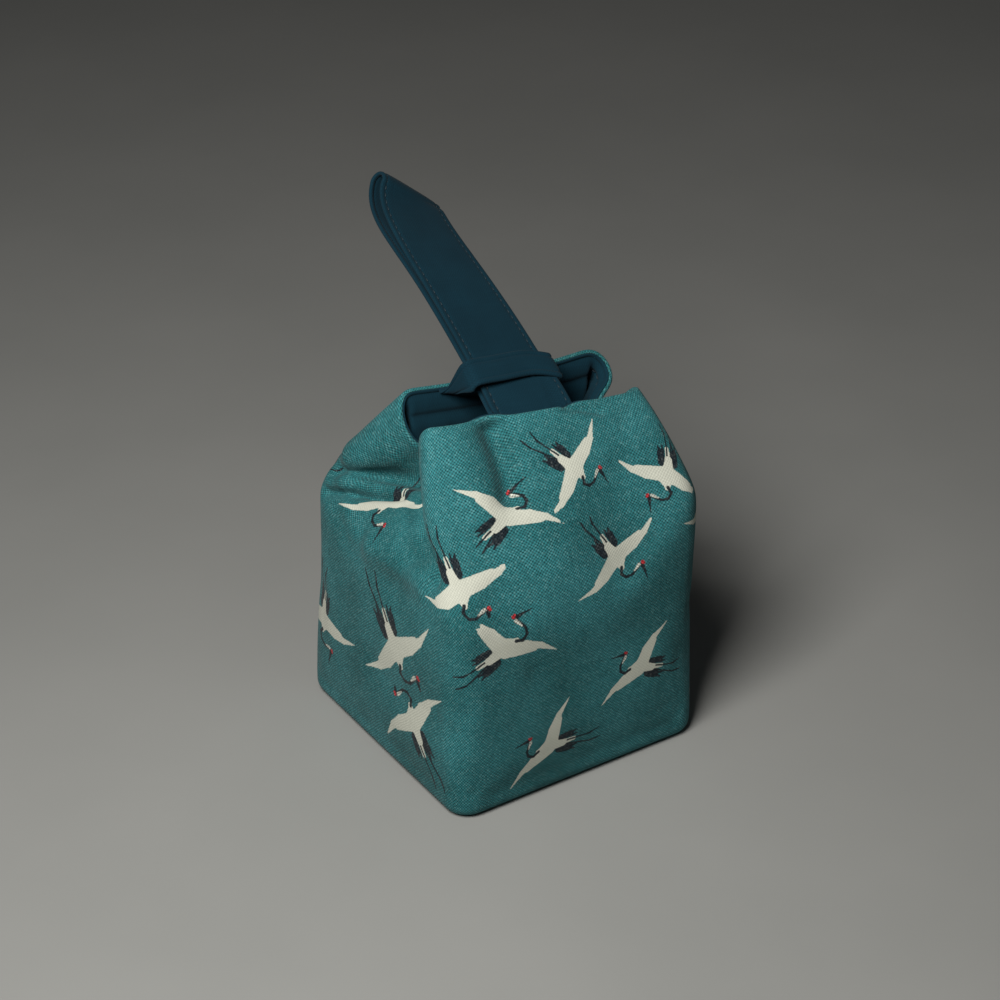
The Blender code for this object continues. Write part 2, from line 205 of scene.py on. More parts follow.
# %% [markdown]
# ## The form of the cloth
#
# Four panels stand on a rounded square, lean in at the shoulders and run up to a long
# narrow mouth. At the mouth the rim turns round four folds, and between a front and a back
# fold the side panel is tucked in as a gusset. The same rules as the solids use are written
# here with many more columns and rows, so that the fine cloth lies on the coarse solid.

# %% Sizes that the form follows (mm)
HALF = 50.0                      # half the base, both ways
PLAN_RADIUS = 9.0
ROLL = 4.6                       # radius of the bottom edge
STRIP = 2.0                      # seam strip under the base
WALL = 4.0                       # canvas to lining, through the fleece
SHOULDER = {"front_left": 77.0, "front_right": 92.0, "back_right": 80.0, "back_left": 82.0, "side": 80.0}
FOLD_FL, FOLD_FR = (-32.1, -6.7), (40.3, -14.7)
FOLD_BR, FOLD_BL = (42.6, 4.8), (-27.2, 10.6)
R_FRONT, R_BACK = 4.1, 5.8       # radius of the rim's folds
RIM_LEFT, RIM_RIGHT, RIM_SAG = 130.0, 124.8, 2.2
N_CORNER, N_SIDE = 14, 66        # columns round a corner, along a panel
QUARTER = N_CORNER + N_SIDE      # columns from one corner's start to the next
COLUMNS = 4 * QUARTER
N_STRIP, N_ROLL, N_WALL, N_ROOF = 2, 6, 42, 60      # rows of each part of the wall
column = np.arange(COLUMNS)

# %% Outline, folds and rim


def smooth(t):
    t = np.clip(t, 0.0, 1.0)
    return t * t * (3.0 - 2.0 * t)


def unit(v):
    return v / np.maximum(np.linalg.norm(v, axis=-1, keepdims=True), 1e-9)


def bezier(p0, p1, p2, p3, t):
    u = 1 - t
    return u**3 * p0 + 3 * u * u * t * p1 + 3 * u * t * t * p2 + t**3 * p3


def outline(inset):
    """Rounded square in plan, one point a column, from the front left corner round to it."""
    h, r = HALF - inset, max(PLAN_RADIUS - inset, 0.6)
    corners = [(-1, -1, 180), (1, -1, 270), (1, 1, 0), (-1, 1, 90)]
    pts = []
    for c, (sx, sy, start) in enumerate(corners):
        for k in range(N_CORNER + 1):
            a = radians(start + 90.0 * k / N_CORNER)
            pts.append((sx * (h - r) + r * cos(a), sy * (h - r) + r * sin(a)))
        nx, ny, _ = corners[(c + 1) % 4]
        end = radians(start + 90.0)
        a, b = np.array(pts[-1]), np.array((nx * (h - r) + r * cos(end), ny * (h - r) + r * sin(end)))
        pts += [tuple(a + (b - a) * k / N_SIDE) for k in range(1, N_SIDE)]
    return np.array(pts)


def fold(centre, radius, start, panel_z, drop, side_first, crisp=1.0):
    """Half a turn of rim round one fold; its gusset side lies lower. A crisp fold stays high
    for longer."""
    out = []
    for k in range(N_CORNER + 1):
        t = k / N_CORNER
        a = radians(start + 180.0 * t)
        s = smooth((t if side_first else 1.0 - t) * crisp)
        out.append((centre[0] + radius * cos(a), centre[1] + radius * sin(a), panel_z - drop * (1 - s)))
    return out


def run_between(p, q, shape):
    p, q = np.array(p), np.array(q)
    return [tuple(shape(k / N_SIDE, p + (q - p) * k / N_SIDE)) for k in range(1, N_SIDE)]


def tuck(p, q, valley):
    """Rim of a side panel: in to the valley and out again."""
    p, q, v = np.array(p), np.array(q), np.array(valley)
    c1, c2 = v + (p - v) * 0.10, v + (q - v) * 0.10
    c1, c2 = c1 + (c1 - p) * 0.12, c2 + (c2 - q) * 0.12
    return [tuple(bezier(p, c1, c2, q, k / N_SIDE)) for k in range(1, N_SIDE)]


def rim():
    fl = fold(FOLD_FL, R_FRONT, 90, RIM_LEFT, 11.0, True, 1.35)
    fr = fold(FOLD_FR, R_FRONT, 270, RIM_RIGHT, 7.0, False, 1.5)
    br = fold(FOLD_BR, R_BACK, 270, RIM_RIGHT + RIM_SAG, 9.0 + RIM_SAG, True)
    bl = fold(FOLD_BL, R_BACK, 90, RIM_LEFT, 18.0, False)

    def front_shape(t, v):
        dent = np.exp(-((v[0] + 13.0) / 11.0) ** 2)
        return v + np.array((0.0, 2.6 * dent - 1.2 * sin(pi * t), -1.3 * dent))

    def back_shape(t, v):
        return v - np.array((0.0, 0.0, RIM_SAG * sin(pi * t)))

    front = run_between(fl[-1], fr[0], front_shape)
    back = run_between(br[-1], bl[0], back_shape)
    right = tuck(fr[-1], br[0], (FOLD_FR[0] - 11.0, (FOLD_FR[1] + R_FRONT + FOLD_BR[1] - R_BACK) / 2,
                                 RIM_RIGHT - 20.0))
    left = tuck(bl[-1], fl[0], (FOLD_FL[0] + 15.0, (FOLD_FL[1] + R_FRONT + FOLD_BL[1] - R_BACK) / 2,
                                RIM_LEFT - 29.0))
    return np.array(fl + front + fr + right + br + back + bl + left)


rim_line = rim()
low, high = rim_line[:, 2].min(), rim_line[:, 2].max()
print("rim:", len(rim_line), "points, height", low.round(1), "to", high.round(1))

# %% [markdown]
# The wall is a loft: straight up from the rolled bottom edge to the shoulder, then a curve
# that starts upright and arrives at the rim with the panel's own lean. Values that differ
# from corner to corner are held round each corner and blended along the panels.

# %% Loft the wall


def around(values):
    """A value for each column, from (corner, middle of the next panel) for each corner."""
    out = []
    for c in range(4):
        here, mid = values[c]
        nxt = values[(c + 1) % 4][0]
        out += [np.asarray(here, float)] * (N_CORNER + 1)
        for k in range(1, N_SIDE):
            t = k / N_SIDE
            base = np.asarray(here, float) * (1 - t) + np.asarray(nxt, float) * t
            w = sin(pi * t) ** 2
            out.append(base * (1 - w) + np.asarray(mid, float) * w)
    return np.array(out)


def loft():
    edge = outline(0.0)
    rows = [np.c_[outline(ROLL + STRIP * (1 - k / N_STRIP)), np.zeros(COLUMNS)]
            for k in range(N_STRIP)]
    for k in range(N_ROLL + 1):
        a = 0.5 * pi * k / N_ROLL
        rows.append(np.c_[outline(ROLL * (1 - sin(a))), np.full(COLUMNS, ROLL * (1 - cos(a)))])
    sh = SHOULDER
    top = around([(sh["front_left"], (sh["front_left"] + sh["front_right"]) / 2),
                  (sh["front_right"], sh["side"]),
                  (sh["back_right"], (sh["back_right"] + sh["back_left"]) / 2),
                  (sh["back_left"], sh["side"])])
    nil = (0.0, 0.0)
    pull = around([(nil, nil), (nil, nil), (nil, nil), ((1.5, -3.3), (0.75, -1.65))])
    for k in range(1, N_WALL + 1):
        t = k / N_WALL
        rows.append(np.c_[edge + pull * smooth(t), ROLL + (top - ROLL) * t])
    low, high = rows[-1], rim_line
    lean = around([((6, 9, 15), (0, 15, 12)), ((-2, 12, 8), (-14, 0, 6)),
                   ((-3, -12, 12), (0, -13, 13)), ((4, -11, 13), (16, 0, 5))])
    foot = around([((0, 11.0), nil), (nil, nil), (nil, nil), (nil, nil)])
    c1 = low + np.c_[foot, np.full(COLUMNS, 12.0)]
    c2 = high - lean
    rows += [bezier(low, c1, c2, high, k / N_ROOF) for k in range(1, N_ROOF + 1)]
    return np.array(rows)


def normals(grid):
    """Outward unit normals of a grid that closes on itself around."""
    du = np.roll(grid, -1, axis=1) - np.roll(grid, 1, axis=1)
    dv = np.gradient(grid, axis=0)
    return unit(np.cross(du, dv))


def relax(grid, rounds, first):
    """Averages each point with its neighbours, from row first up, so that no fold has a corner."""
    out = grid.copy()
    hold = smooth((np.arange(len(grid)) - first) / 8.0)[:, None, None]
    for _ in range(rounds):
        side = (np.roll(out, 1, axis=1) + np.roll(out, -1, axis=1)) / 2
        up = out.copy()
        up[1:-1] = (out[:-2] + out[2:]) / 2
        up[-1] = out[-1]
        out = out + hold * 0.5 * ((side + up) / 2 - out)
    return out


form = relax(loft(), 14, N_STRIP + N_ROLL + N_WALL - 6)
print("form:", form.shape[1], "columns x", form.shape[0], "rows")

# %% [markdown]
# ## Let the wall settle
#
# A padded wall is never flat: the fleece pushes it out between its seam and its rim. A short
# cloth simulation does this better than a formula. A coarse copy of the wall, pinned at the
# bottom edge and at the rim, swells under slight pressure for a few frames. How far it went
# is capped, smoothed and added to the fine form, and the copy is thrown away.

# %% Cloth simulation on a coarse copy
SIM_FRAMES, SIM_CAP = 14, 3.0    # frames; the most that a point may move, in mm
SIM_ROWS, SIM_COLS = 2, 4        # every second row, every fourth column
SIM_CLOTH = {"quality": 6, "mass": 0.25, "tension_stiffness": 12.0, "compression_stiffness": 12.0,
             "bending_stiffness": 0.6, "use_pressure": True, "uniform_pressure_force": 3.0,
             "vertex_group_mass": "sewn"}


def settle(grid):
    """The grid after its wall has swelled a little under pressure."""
    coarse = np.concatenate([grid[::SIM_ROWS, ::SIM_COLS], grid[-1:, ::SIM_COLS]])
    n_rows, n_cols = coarse.shape[:2]
    bm = bmesh.new()
    bmesh.ops.create_grid(bm, x_segments=n_cols, y_segments=n_rows - 1, size=1.0)
    bm.verts.ensure_lookup_table()
    spot = bm.verts.layers.int.new("spot")
    for k, v in enumerate(bm.verts):
        row, col = divmod(k, n_cols + 1)
        v.co = coarse[row, col % n_cols] * MM
        v[spot] = row * n_cols + col % n_cols
    bmesh.ops.remove_doubles(bm, verts=bm.verts, dist=1e-6)
    wall = finish_mesh("settling_wall", bm)
    spots = np.array([d.value for d in wall.data.attributes["spot"].data])
    pins = wall.vertex_groups.new(name="sewn")
    for i, row in enumerate(spots // n_cols):
        if row <= (N_STRIP + N_ROLL) // SIM_ROWS + 1 or row >= n_rows - 3:
            pins.add([i], 1.0, "REPLACE")
    cloth = wall.modifiers.new("cloth", "CLOTH")
    for key, value in SIM_CLOTH.items():
        setattr(cloth.settings, key, value)
    cloth.settings.effector_weights.gravity = 0.0
    cloth.point_cache.frame_end = SIM_FRAMES + 1
    scene = bpy.context.scene
    for f in range(1, SIM_FRAMES + 1):
        scene.frame_set(f)
    settled = wall.evaluated_get(bpy.context.evaluated_depsgraph_get())
    co = np.zeros(len(spots) * 3)
    settled.to_mesh().vertices.foreach_get("co", co)
    settled.to_mesh_clear()
    move = np.zeros((n_rows * n_cols, 3))
    move[spots] = co.reshape(-1, 3) / MM - coarse.reshape(-1, 3)[spots]
    scene.frame_set(1)
    bpy.data.objects.remove(wall, do_unlink=True)
    move = move.reshape(n_rows, n_cols, 3)
    far = np.linalg.norm(move, axis=2, keepdims=True)
    print("wall swells up to", far.max().round(2), "mm, on average", far.mean().round(2), "mm")
    move = move / np.maximum(far, 1e-9) * SIM_CAP * np.tanh(far / SIM_CAP)
    rows_at = np.r_[np.arange(0, len(grid), SIM_ROWS), len(grid)]
    up = np.array([[np.interp(np.arange(len(grid)), rows_at, move[:, c, k]) for k in range(3)]
                   for c in range(n_cols)])
    up = np.concatenate([up, up[:1]])
    fine = [[np.interp(column, np.arange(n_cols + 1) * SIM_COLS, up[:, k, r]) for k in range(3)]
            for r in range(len(grid))]
    return grid + np.array(fine).transpose(0, 2, 1)


form = relax(settle(form), 3, N_STRIP + N_ROLL)

# %% [markdown]
# ## Creases
#
# Padded cloth doesn't fold sharply: it buckles into soft rolls with a valley between them.
# Each valley or roll is written as a path in space with a width and a depth, and moves the
# cloth along its own normal. The big ones sit where the side panel is pulled in under the
# front flange.

# %% Press creases and rolls into the form


def path_distance(points, path):
    """Shortest distance from each point to a polyline, and how far along it lies (0 to 1)."""
    best = np.full(points.shape[:-1], 1e9)
    along = np.zeros(points.shape[:-1])
    path = np.array(path, float)
    for k in range(len(path) - 1):
        a, d = path[k], path[k + 1] - path[k]
        t = np.clip(((points - a) @ d) / (d @ d), 0, 1)
        gap = np.linalg.norm(points - (a + t[..., None] * d), axis=-1)
        near = gap < best
        best = np.where(near, gap, best)
        along = np.where(near, (k + t) / (len(path) - 1), along)
    return best, along


def press(grid, path, width, depth, fade=0.15, side_only=False):
    """Moves the cloth in (depth > 0) or out along a path, fading towards both ends."""
    spots = grid.reshape(-1, 3)
    path = [grid[p] if len(p) == 2 else
            spots[np.argmin(np.linalg.norm(spots - np.array(p), axis=1))] for p in path]
    gap, along = path_distance(grid, path)
    ends = smooth(along / fade) * smooth((1 - along) / fade)
    amount = depth * np.exp(-((gap / width) ** 2)) * ends
    if side_only:                # the tucked side panel alone, up to the front fold
        amount = amount * SIDE_SHARE
    return grid - normals(grid) * amount[..., None]


SIDE_SHARE = np.where(column < COLUMNS / 2, 1 - smooth((column - 1) / 7.0),
                      smooth((column - COLUMNS + N_SIDE + 12) / 10.0))


CREASES = [
    # path (mm, or row and column of the grid), width, depth, on the tucked side panel alone
    ([(-46, 46, 92), (-43.1, 34.1, 94.7), (-38.2, 22.5, 96.5), (-29.8, 7.1, 99.6), (-27, 1, 101)],
     2.8, 3.6, False),
    ([(-50, 44, 84), (-47.5, 35, 86.6), (-41, 17.9, 92.7), (-33.7, 1.6, 98.7)], 2.2, 4.0, False),
    ([(-45, 36, 90.5), (-39.5, 20.5, 94.1), (-32, 4, 98)], 2.2, -1.4, False),
    ([(-45, 38, 99), (-39, 24, 104), (-33, 10, 108)], 6.0, -1.5, False),
    ([(-44, 41, 97), (-44, 34, 92)], 1.3, 0.9, False),
    ([(-32, -1, 118), (-32, 0, 108), (-35, -2, 99), (-41, -14, 95), (-46, -30, 90), (-48, -38, 86)],
     4.2, 4.6, True),
    ([(94, 296), (86, 297), (78, 299), (70, 303), (62, 309)], 4.5, 1.6, False),
    ([(-49.5, 12, 80), (-49, -6, 83), (-48.5, -20, 84), (-48, -32, 85)], 5.5, -2.4, False),
    ([(-12, -11, 130), (-13, -17, 122), (-15, -25, 114), (-19, -34, 104)], 4.5, 4.5, False),
    ([(-27, -11, 129), (-27, -18, 121), (-27, -28, 111), (-31, -38, 101)], 8.0, -2.2, False),
    ([(12, -17.5, 127), (19, -19.5, 125), (27, -22.5, 121.5)], 1.6, 1.5, False),
    ([(14, -20, 123.5), (22, -23, 120.5), (29, -26, 117)], 2.6, -0.7, False),
    ([(-50, -44, 40), (-50, -20, 34), (-50, 10, 38)], 9.0, 0.9, False),
    ([(-30, -50, 52), (0, -50, 46), (30, -50, 55)], 11.0, 0.8, False),
]
for path, width, depth, side_only in CREASES:
    form = press(form, path, width, depth, side_only=side_only)
print("creases pressed:", len(CREASES))

# %% [markdown]
# ## From form to cloth
#
# A grid is the natural start for cloth: its rows and columns are the weft and the warp.
# Each vertex of the grid takes a place on the form, the two ends of the tube are merged,
# and a UV map in millimetres of flat cloth is kept for the weave.

# %% Grid helper


def lay_grid(name, grid, uv=None, marks=None):
    """A tube of quads on rows of points in mm, with its uv in mm of flat cloth. What marks
    gives for the uv of a face becomes that face's print coordinates."""
    grid = np.concatenate([grid, grid[:, :1]], axis=1)
    n_rows, n_cols = grid.shape[:2]
    bm = bmesh.new()
    bmesh.ops.create_grid(bm, x_segments=n_cols - 1, y_segments=n_rows - 1, size=1.0)
    bm.verts.ensure_lookup_table()
    for v, p in zip(bm.verts, grid.reshape(-1, 3) * MM):
        v.co = p
    if uv is not None:
        flat = uv.reshape(-1, 2)
        layer = bm.loops.layers.uv.new("cloth_mm")
        marked = bm.loops.layers.float_vector.new("crane") if marks else None
        for face in bm.faces:
            here = [flat[loop.vert.index] for loop in face.loops]
            prints = marks(np.array(here)) if marks else None
            for k, loop in enumerate(face.loops):
                loop[layer].uv = here[k]
                if marks:
                    loop[marked] = prints[k]
    bmesh.ops.remove_doubles(bm, verts=bm.verts, dist=1e-6)
    return finish_mesh(name, bm)


def thicken(obj, thickness):
    """Gives a sheet its thickness in mm, on the inside."""
    mod = obj.modifiers.new("cloth", "SOLIDIFY")
    mod.thickness = thickness * MM
    mod.offset = -1.0
    mod.use_even_offset = False
    return obj


def dress(obj, material, slot, *nodes):
    """The piece rides on the pouch, stands for its solids and takes its finish."""
    obj.data.materials.append(material)
    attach(obj, "root")
    if nodes:
        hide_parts(*nodes)
    print(obj.name, "->", ", ".join(nodes) or "trim", "-", len(obj.data.polygons), "faces")


def run_along(points):
    """Length in mm from the first point or row to each other one."""
    steps = np.linalg.norm(np.diff(points, axis=0), axis=-1)
    return np.concatenate([np.zeros_like(steps[:1]), np.cumsum(steps, axis=0)])


form_normals = normals(form)
climb = run_along(form)


def at_climb(grid, climbs):
    """One row round the wall, each column at its own climb from the seam (mm)."""
    return np.array([[np.interp(climbs[c], climb[:, c], grid[:, c, k]) for k in range(3)]
                     for c in range(COLUMNS)])


def on_wall(below, depth):
    """One row of points so far below the rim (mm) and so deep inside the outer face."""
    at = climb[-1] - below
    return at_climb(form, at) - unit(at_climb(form_normals, at)) * depth


def cloth_uv(lengths):
    """Place on the flat cloth of each point: mm round, mm up."""
    lengths = np.array(lengths)
    lengths = np.concatenate([lengths, lengths[:, :1]], axis=1)
    return np.stack([np.broadcast_to(flat_u, lengths.shape), lengths], axis=2)


GIRTH = 2 * (4 * (HALF - PLAN_RADIUS) + pi * PLAN_RADIUS)      # mm of cloth round the box
flat_u = np.arange(COLUMNS + 1) / COLUMNS * GIRTH
print("cloth climbs", climb[-1].min().round(1), "to", climb[-1].max().round(1), "mm from seam to rim")

# %% [markdown]
# ## The printed canvas
#
# Outside is one tube of printed cotton and linen. At the mouth it turns over the fleece as a
# soft round edge, and the lining takes over there, so a thin teal line shows round the dark
# lining. The cranes are a traditional figure: each one gets a place and a heading on the
# flat cloth, and every face keeps the coordinates of the crane that is nearest to it.

# %% Where the cranes fly
CRANES = np.array([
    # place on the flat cloth (mm round, mm up), heading in degrees, mirrored, wing sweep, size
    (59.9, 123.0, -48, 1, 0.05, 1), (93.2, 112.0, -117, -1, 0.15, 0.95), (33.6, 113.0, 38, 1, 0.55, 1),
    (68.9, 89.9, -57, 1, 0.0, 1), (12.9, 95.1, -75, 1, 0.1, 1.15), (356.8, 58.0, -50, 1, 0.1, 1.4),
    (23.8, 70.3, 33, 1, 0.7, 1.1), (78.5, 43.2, 158, -1, 0.66, 0.95), (43.4, 24.5, 172, -1, 0.75, 1),
    (368.7, 31.9, 128, 1, 0.2, 1.25), (330.9, 104.3, -64, 1, 0.2, 1.15), (308.7, 41.7, -88, 1, 0.1, 1.2),
    (114.5, 94.0, -95, 1, 0.1, 1), (138.0, 62.0, 30, 1, 0.5, 1), (162.0, 32.0, -150, -1, 0.3, 1.1),
    (174.0, 86.0, -40, 1, 0.1, 1), (122.0, 26.0, 100, 1, 0.6, 1), (192.0, 56.0, 160, -1, 0.2, 1),
    (214.0, 92.0, -20, 1, 0.4, 1), (222.0, 34.0, 35, 1, 0.7, 1.1), (252.0, 68.0, -165, -1, 0.5, 1),
    (262.0, 112.0, 15, 1, 0.3, 1), (250.0, 22.0, -60, 1, 0.1, 1), (286.0, 86.0, -120, -1, 0.2, 1),
    (281.0, 40.0, 150, -1, 0.6, 1.1), (152.0, 116.0, -30, 1, 0.2, 1)])
print(len(CRANES), "cranes on", round(GIRTH), "mm of cloth")

# %% Print coordinates of a face


def crane_marks(corners):
    """Coordinates about the nearest crane, in its heading, with its wing sweep."""
    middle = corners.mean(axis=0)
    step = middle - CRANES[:, :2]
    step[:, 0] -= GIRTH * np.round(step[:, 0] / GIRTH)
    k = int(np.argmin((step ** 2).sum(axis=1) / CRANES[:, 5] ** 2))
    _, _, heading, side, sweep, size = CRANES[k]
    a = radians(heading)
    out = []
    for corner in corners:
        d = (corner - middle + step[k]) / size
        out.append((d[0] * cos(a) + d[1] * sin(a), (d[1] * cos(a) - d[0] * sin(a)) * side, sweep))
    return out

# %% Canvas tube with its turned rim
CANVAS_T = 0.9
RIM_ROUND = 1.1                  # radius of the mouth's edge, mm
RIM_STEPS = 6
rim_up = unit(on_wall(0, 0) - on_wall(3, 0))
rim_out = unit(on_wall(1.5, 0) - on_wall(1.5, 1.0))


def fold_share(reach, fade):
    """For each column: 1 within reach of the two front folds, then fading to 0."""
    share = np.zeros(COLUMNS)
    for corner in (0, QUARTER):
        away = np.abs((column - corner - N_CORNER / 2 + COLUMNS / 2) % COLUMNS - COLUMNS / 2)
        share = np.maximum(share, 1 - smooth((away - reach) / fade))
    return share


# the canvas turns this far over the edge, and further inside the folds
RIM_TURN = (radians(112) + radians(62) * fold_share(N_CORNER / 2, 5.0))[:, None]


def on_edge(heart, radius, turn):
    """A row of points round the mouth's edge, turned inwards from its outer face."""
    return heart + radius * (rim_out * np.cos(turn) + rim_up * np.sin(turn))


def canvas_rows():
    lengths = [(climb[-1] - RIM_ROUND) * r for r in np.linspace(0, 1, 130)]
    rows = [at_climb(form, at) for at in lengths]
    heart = rows[-1] - rim_out * RIM_ROUND
    for k in range(1, RIM_STEPS + 1):
        rows.append(on_edge(heart, RIM_ROUND, RIM_TURN * k / RIM_STEPS))
        lengths.append(lengths[-1] + RIM_TURN[:, 0] * RIM_ROUND / RIM_STEPS)
    return np.array(rows), cloth_uv(lengths)


rows, uv = canvas_rows()
canvas = thicken(lay_grid("pouch_canvas", rows, uv=uv, marks=crane_marks), CANVAS_T)
print("canvas:", rows.shape[0], "rows")

# %% [markdown]
# ## Fleece and lining
#
# Between the two cloths lies a soft fleece that gives the walls their body. It can't be
# seen, but it fills the space that its solid fills, up to just below the rounded edge. The
# lining hangs inside it: a flat band below the rim, held by a row of stitches, then a fuller
# part that puffs and gathers. On the back wall it hangs straight down from the rim, away
# from the sloping cloth behind it.

# %% Fleece layers
FLEECE_DEPTH, FLEECE_T = 1.35, 1.5              # mm inside the canvas face, thickness
FLEECE_TOP = RIM_ROUND + 3.2                    # mm below the rim


def fleece_rows():
    inner = form - form_normals * FLEECE_DEPTH
    return np.array([at_climb(inner, (climb[-1] - FLEECE_TOP) * r) for r in np.linspace(0, 1, 70)])


fleece = thicken(lay_grid("wall_fleece", fleece_rows()[:, ::2]), FLEECE_T)

# %% Lining with its flat band and gathers
LINING_DEPTH, LINING_T = 3.3, 0.7
BAND = 6.0                       # flat band between the rim and the stitches
HANG = 12.0                      # the back lining stands off the wall down to here, mm below the rim


def lining_rows():
    """From the seam strip up to the rim, then over the inner half of the rounded edge. Also
    gives the line of the stitches, just proud of the lining."""
    rows, lengths, seams = [], [], []
    angle = column / COLUMNS * 2 * pi
    from_back = np.abs(column - 2 * QUARTER - N_CORNER - N_SIDE / 2) - N_SIDE / 2
    back_share = 1 - smooth((from_back + 2) / 9.0)
    side_share = 1 - fold_share(12, 8.0)
    for r in np.linspace(0, 1, 116):
        at = (climb[-1] - RIM_ROUND) * (1 - (1 - r) ** 1.7)
        below = climb[-1] - at
        crease = np.exp(-((below - BAND) / 0.9) ** 2)
        full = smooth((below - BAND) / 8.0) * smooth((at - 14.0) / 20.0) * side_share
        gathers = (0.6 * np.sin(44 * angle + 1.3 * np.sin(5 * angle))
                   + 0.4 * np.sin(71 * angle + below / 9.0))
        puff = full * (0.9 + 0.9 * gathers * np.exp(-below / 30.0)) - 0.45 * crease
        edge = smooth((below - RIM_ROUND) / 3.6)
        hang = back_share * (0.8 * np.minimum(below, HANG) + 1.1 * smooth((below - BAND) / 2.5))
        hang = hang * (1 - smooth((below - HANG) / 40.0)) * smooth((below - RIM_ROUND) / 1.5)
        depth = (2 * RIM_ROUND - 0.35) * (1 - edge) + LINING_DEPTH * edge + puff + hang
        p, n = at_climb(form, at), unit(at_climb(form_normals, at))
        rows.append(p - n * depth[:, None])
        seams.append((abs(below.mean() - BAND), p - n * (depth[:, None] + LINING_T + 0.08)))
        lengths.append(at)
    heart = on_wall(RIM_ROUND, RIM_ROUND)
    for share in np.linspace(0, 1, 5)[1:]:
        turn = pi + (RIM_TURN + radians(4) - pi) * share
        rows.append(on_edge(heart, RIM_ROUND - 0.3, turn))
        lengths.append(lengths[-1] + 0.4)
    return np.array(rows), cloth_uv(lengths), min(seams, key=lambda s: s[0])[1]


rows, uv, lining_seam = lining_rows()
lining = thicken(lay_grid("pouch_lining", rows, uv=uv), LINING_T)
print("lining:", rows.shape[0], "rows")

# %% [markdown]
# ## The flat bottom
#
# Three rounded squares close the pouch below: canvas, fleece and lining, sewn to the wall
# in one seam. A single face with bevelled corners, drawn up and rounded, is enough.

# %% Base panels


def base_panel(name, bottom, thickness, soft):
    inset = ROLL + STRIP + 0.25
    bm = bmesh.new()
    bmesh.ops.create_grid(bm, x_segments=1, y_segments=1, size=(HALF - inset) * MM)
    bmesh.ops.bevel(bm, geom=bm.verts[:], offset=max(PLAN_RADIUS - inset, 1.0) * MM, segments=6,
                    profile=0.5, affect="VERTICES", material=-1)
    bmesh.ops.translate(bm, vec=(0, 0, bottom * MM), verts=bm.verts)
    drawn = bmesh.ops.extrude_face_region(bm, geom=bm.faces[:])
    top = [v for v in drawn["geom"] if isinstance(v, bmesh.types.BMVert)]
    bmesh.ops.translate(bm, vec=(0, 0, thickness * MM), verts=top)
    bmesh.ops.recalc_face_normals(bm, faces=bm.faces[:])
    rims = [e for e in bm.edges if len({f.normal.z > 0.5 for f in e.link_faces}) == 2 or
            len({f.normal.z < -0.5 for f in e.link_faces}) == 2]
    bmesh.ops.bevel(bm, geom=rims, offset=thickness * soft * MM, segments=3, profile=0.5,
                    affect="EDGES", material=-1)
    return finish_mesh(name, bm)


base_canvas = base_panel("base_canvas", 0.0, 1.0, 0.35)
base_fleece = base_panel("base_fleece", 1.3, 1.7, 0.45)
base_lining = base_panel("base_lining", 3.3, 0.7, 0.35)
print("base panels:", base_canvas.name, base_fleece.name, base_lining.name)

# %% [markdown]
# ## The wrist strap
#
# The strap is a folded loop of plain cotton, stitched close to both edges. It is sewn down
# inside the front rim, rises over the mouth and turns over at its tip. Its middle surface
# is worked out first; a rounded section with two stitch grooves then follows it.

# %% Places on the inside of the wall


def inside(panel, x, below, depth):
    """Point and normal at plan position x on the front or back panel, below the rim, inside
    the wall."""
    first = N_CORNER if panel == "front" else 2 * QUARTER + N_CORNER
    cols = np.arange(first, first + N_SIDE + 1)
    order = np.argsort(form[-1, cols, 0])
    place = np.interp(x, form[-1, cols, 0][order], cols[order])
    a, w = int(place), place - int(place)
    b = min(a + 1, first + N_SIDE)
    line = (form[:, a] * (1 - w) + form[:, b] * w)[::-1]
    side = (form_normals[:, a] * (1 - w) + form_normals[:, b] * w)[::-1]
    run = run_along(line)
    p, n = (np.array([np.interp(below, run, s[:, k]) for k in range(3)]) for s in (line, side))
    return p - unit(n) * depth, unit(n)

# %% The strap's run
STRAP_W, STRAP_T = 28.0, 1.3
LEG_GAP = 1.4                    # between the loop's two legs
STRAP_CLEAR = WALL + 0.5         # how deep inside the wall the strap is sewn
FOOT_X, FOOT_DOWN = 4.6, 9.0
RISE = ((9.5, 36.6, 152.6), (7.0, 68.6, 160.0))
TIP = (12.8, 75.2, 166.8)
ROLL_FOOT, ROLL_TIP = 4.5, 23.5  # degrees about its run
TIP_OPEN, OPEN_LENGTH = 2.7, 62.0


def strap_run(count):
    """Frames along the strap's upper face: place, direction, width and normal."""
    foot, _ = inside("front", FOOT_X, 0.0, STRAP_CLEAR)
    p = [foot, np.array(RISE[0]), np.array(RISE[1]), np.array(TIP)]
    out = []
    for k in range(count + 1):
        t = k / count
        u = 1 - t
        d = unit(u * u * (p[1] - p[0]) + 2 * u * t * (p[2] - p[1]) + t * t * (p[3] - p[2]))
        roll = radians(ROLL_FOOT + (ROLL_TIP - ROLL_FOOT) * t)
        level = unit(np.array((1.0, 0, 0)) - d * d[0])
        width = level * cos(roll) - np.cross(level, d) * sin(roll)
        out.append((bezier(*p, t), d, width, np.cross(width, d)))
    return out


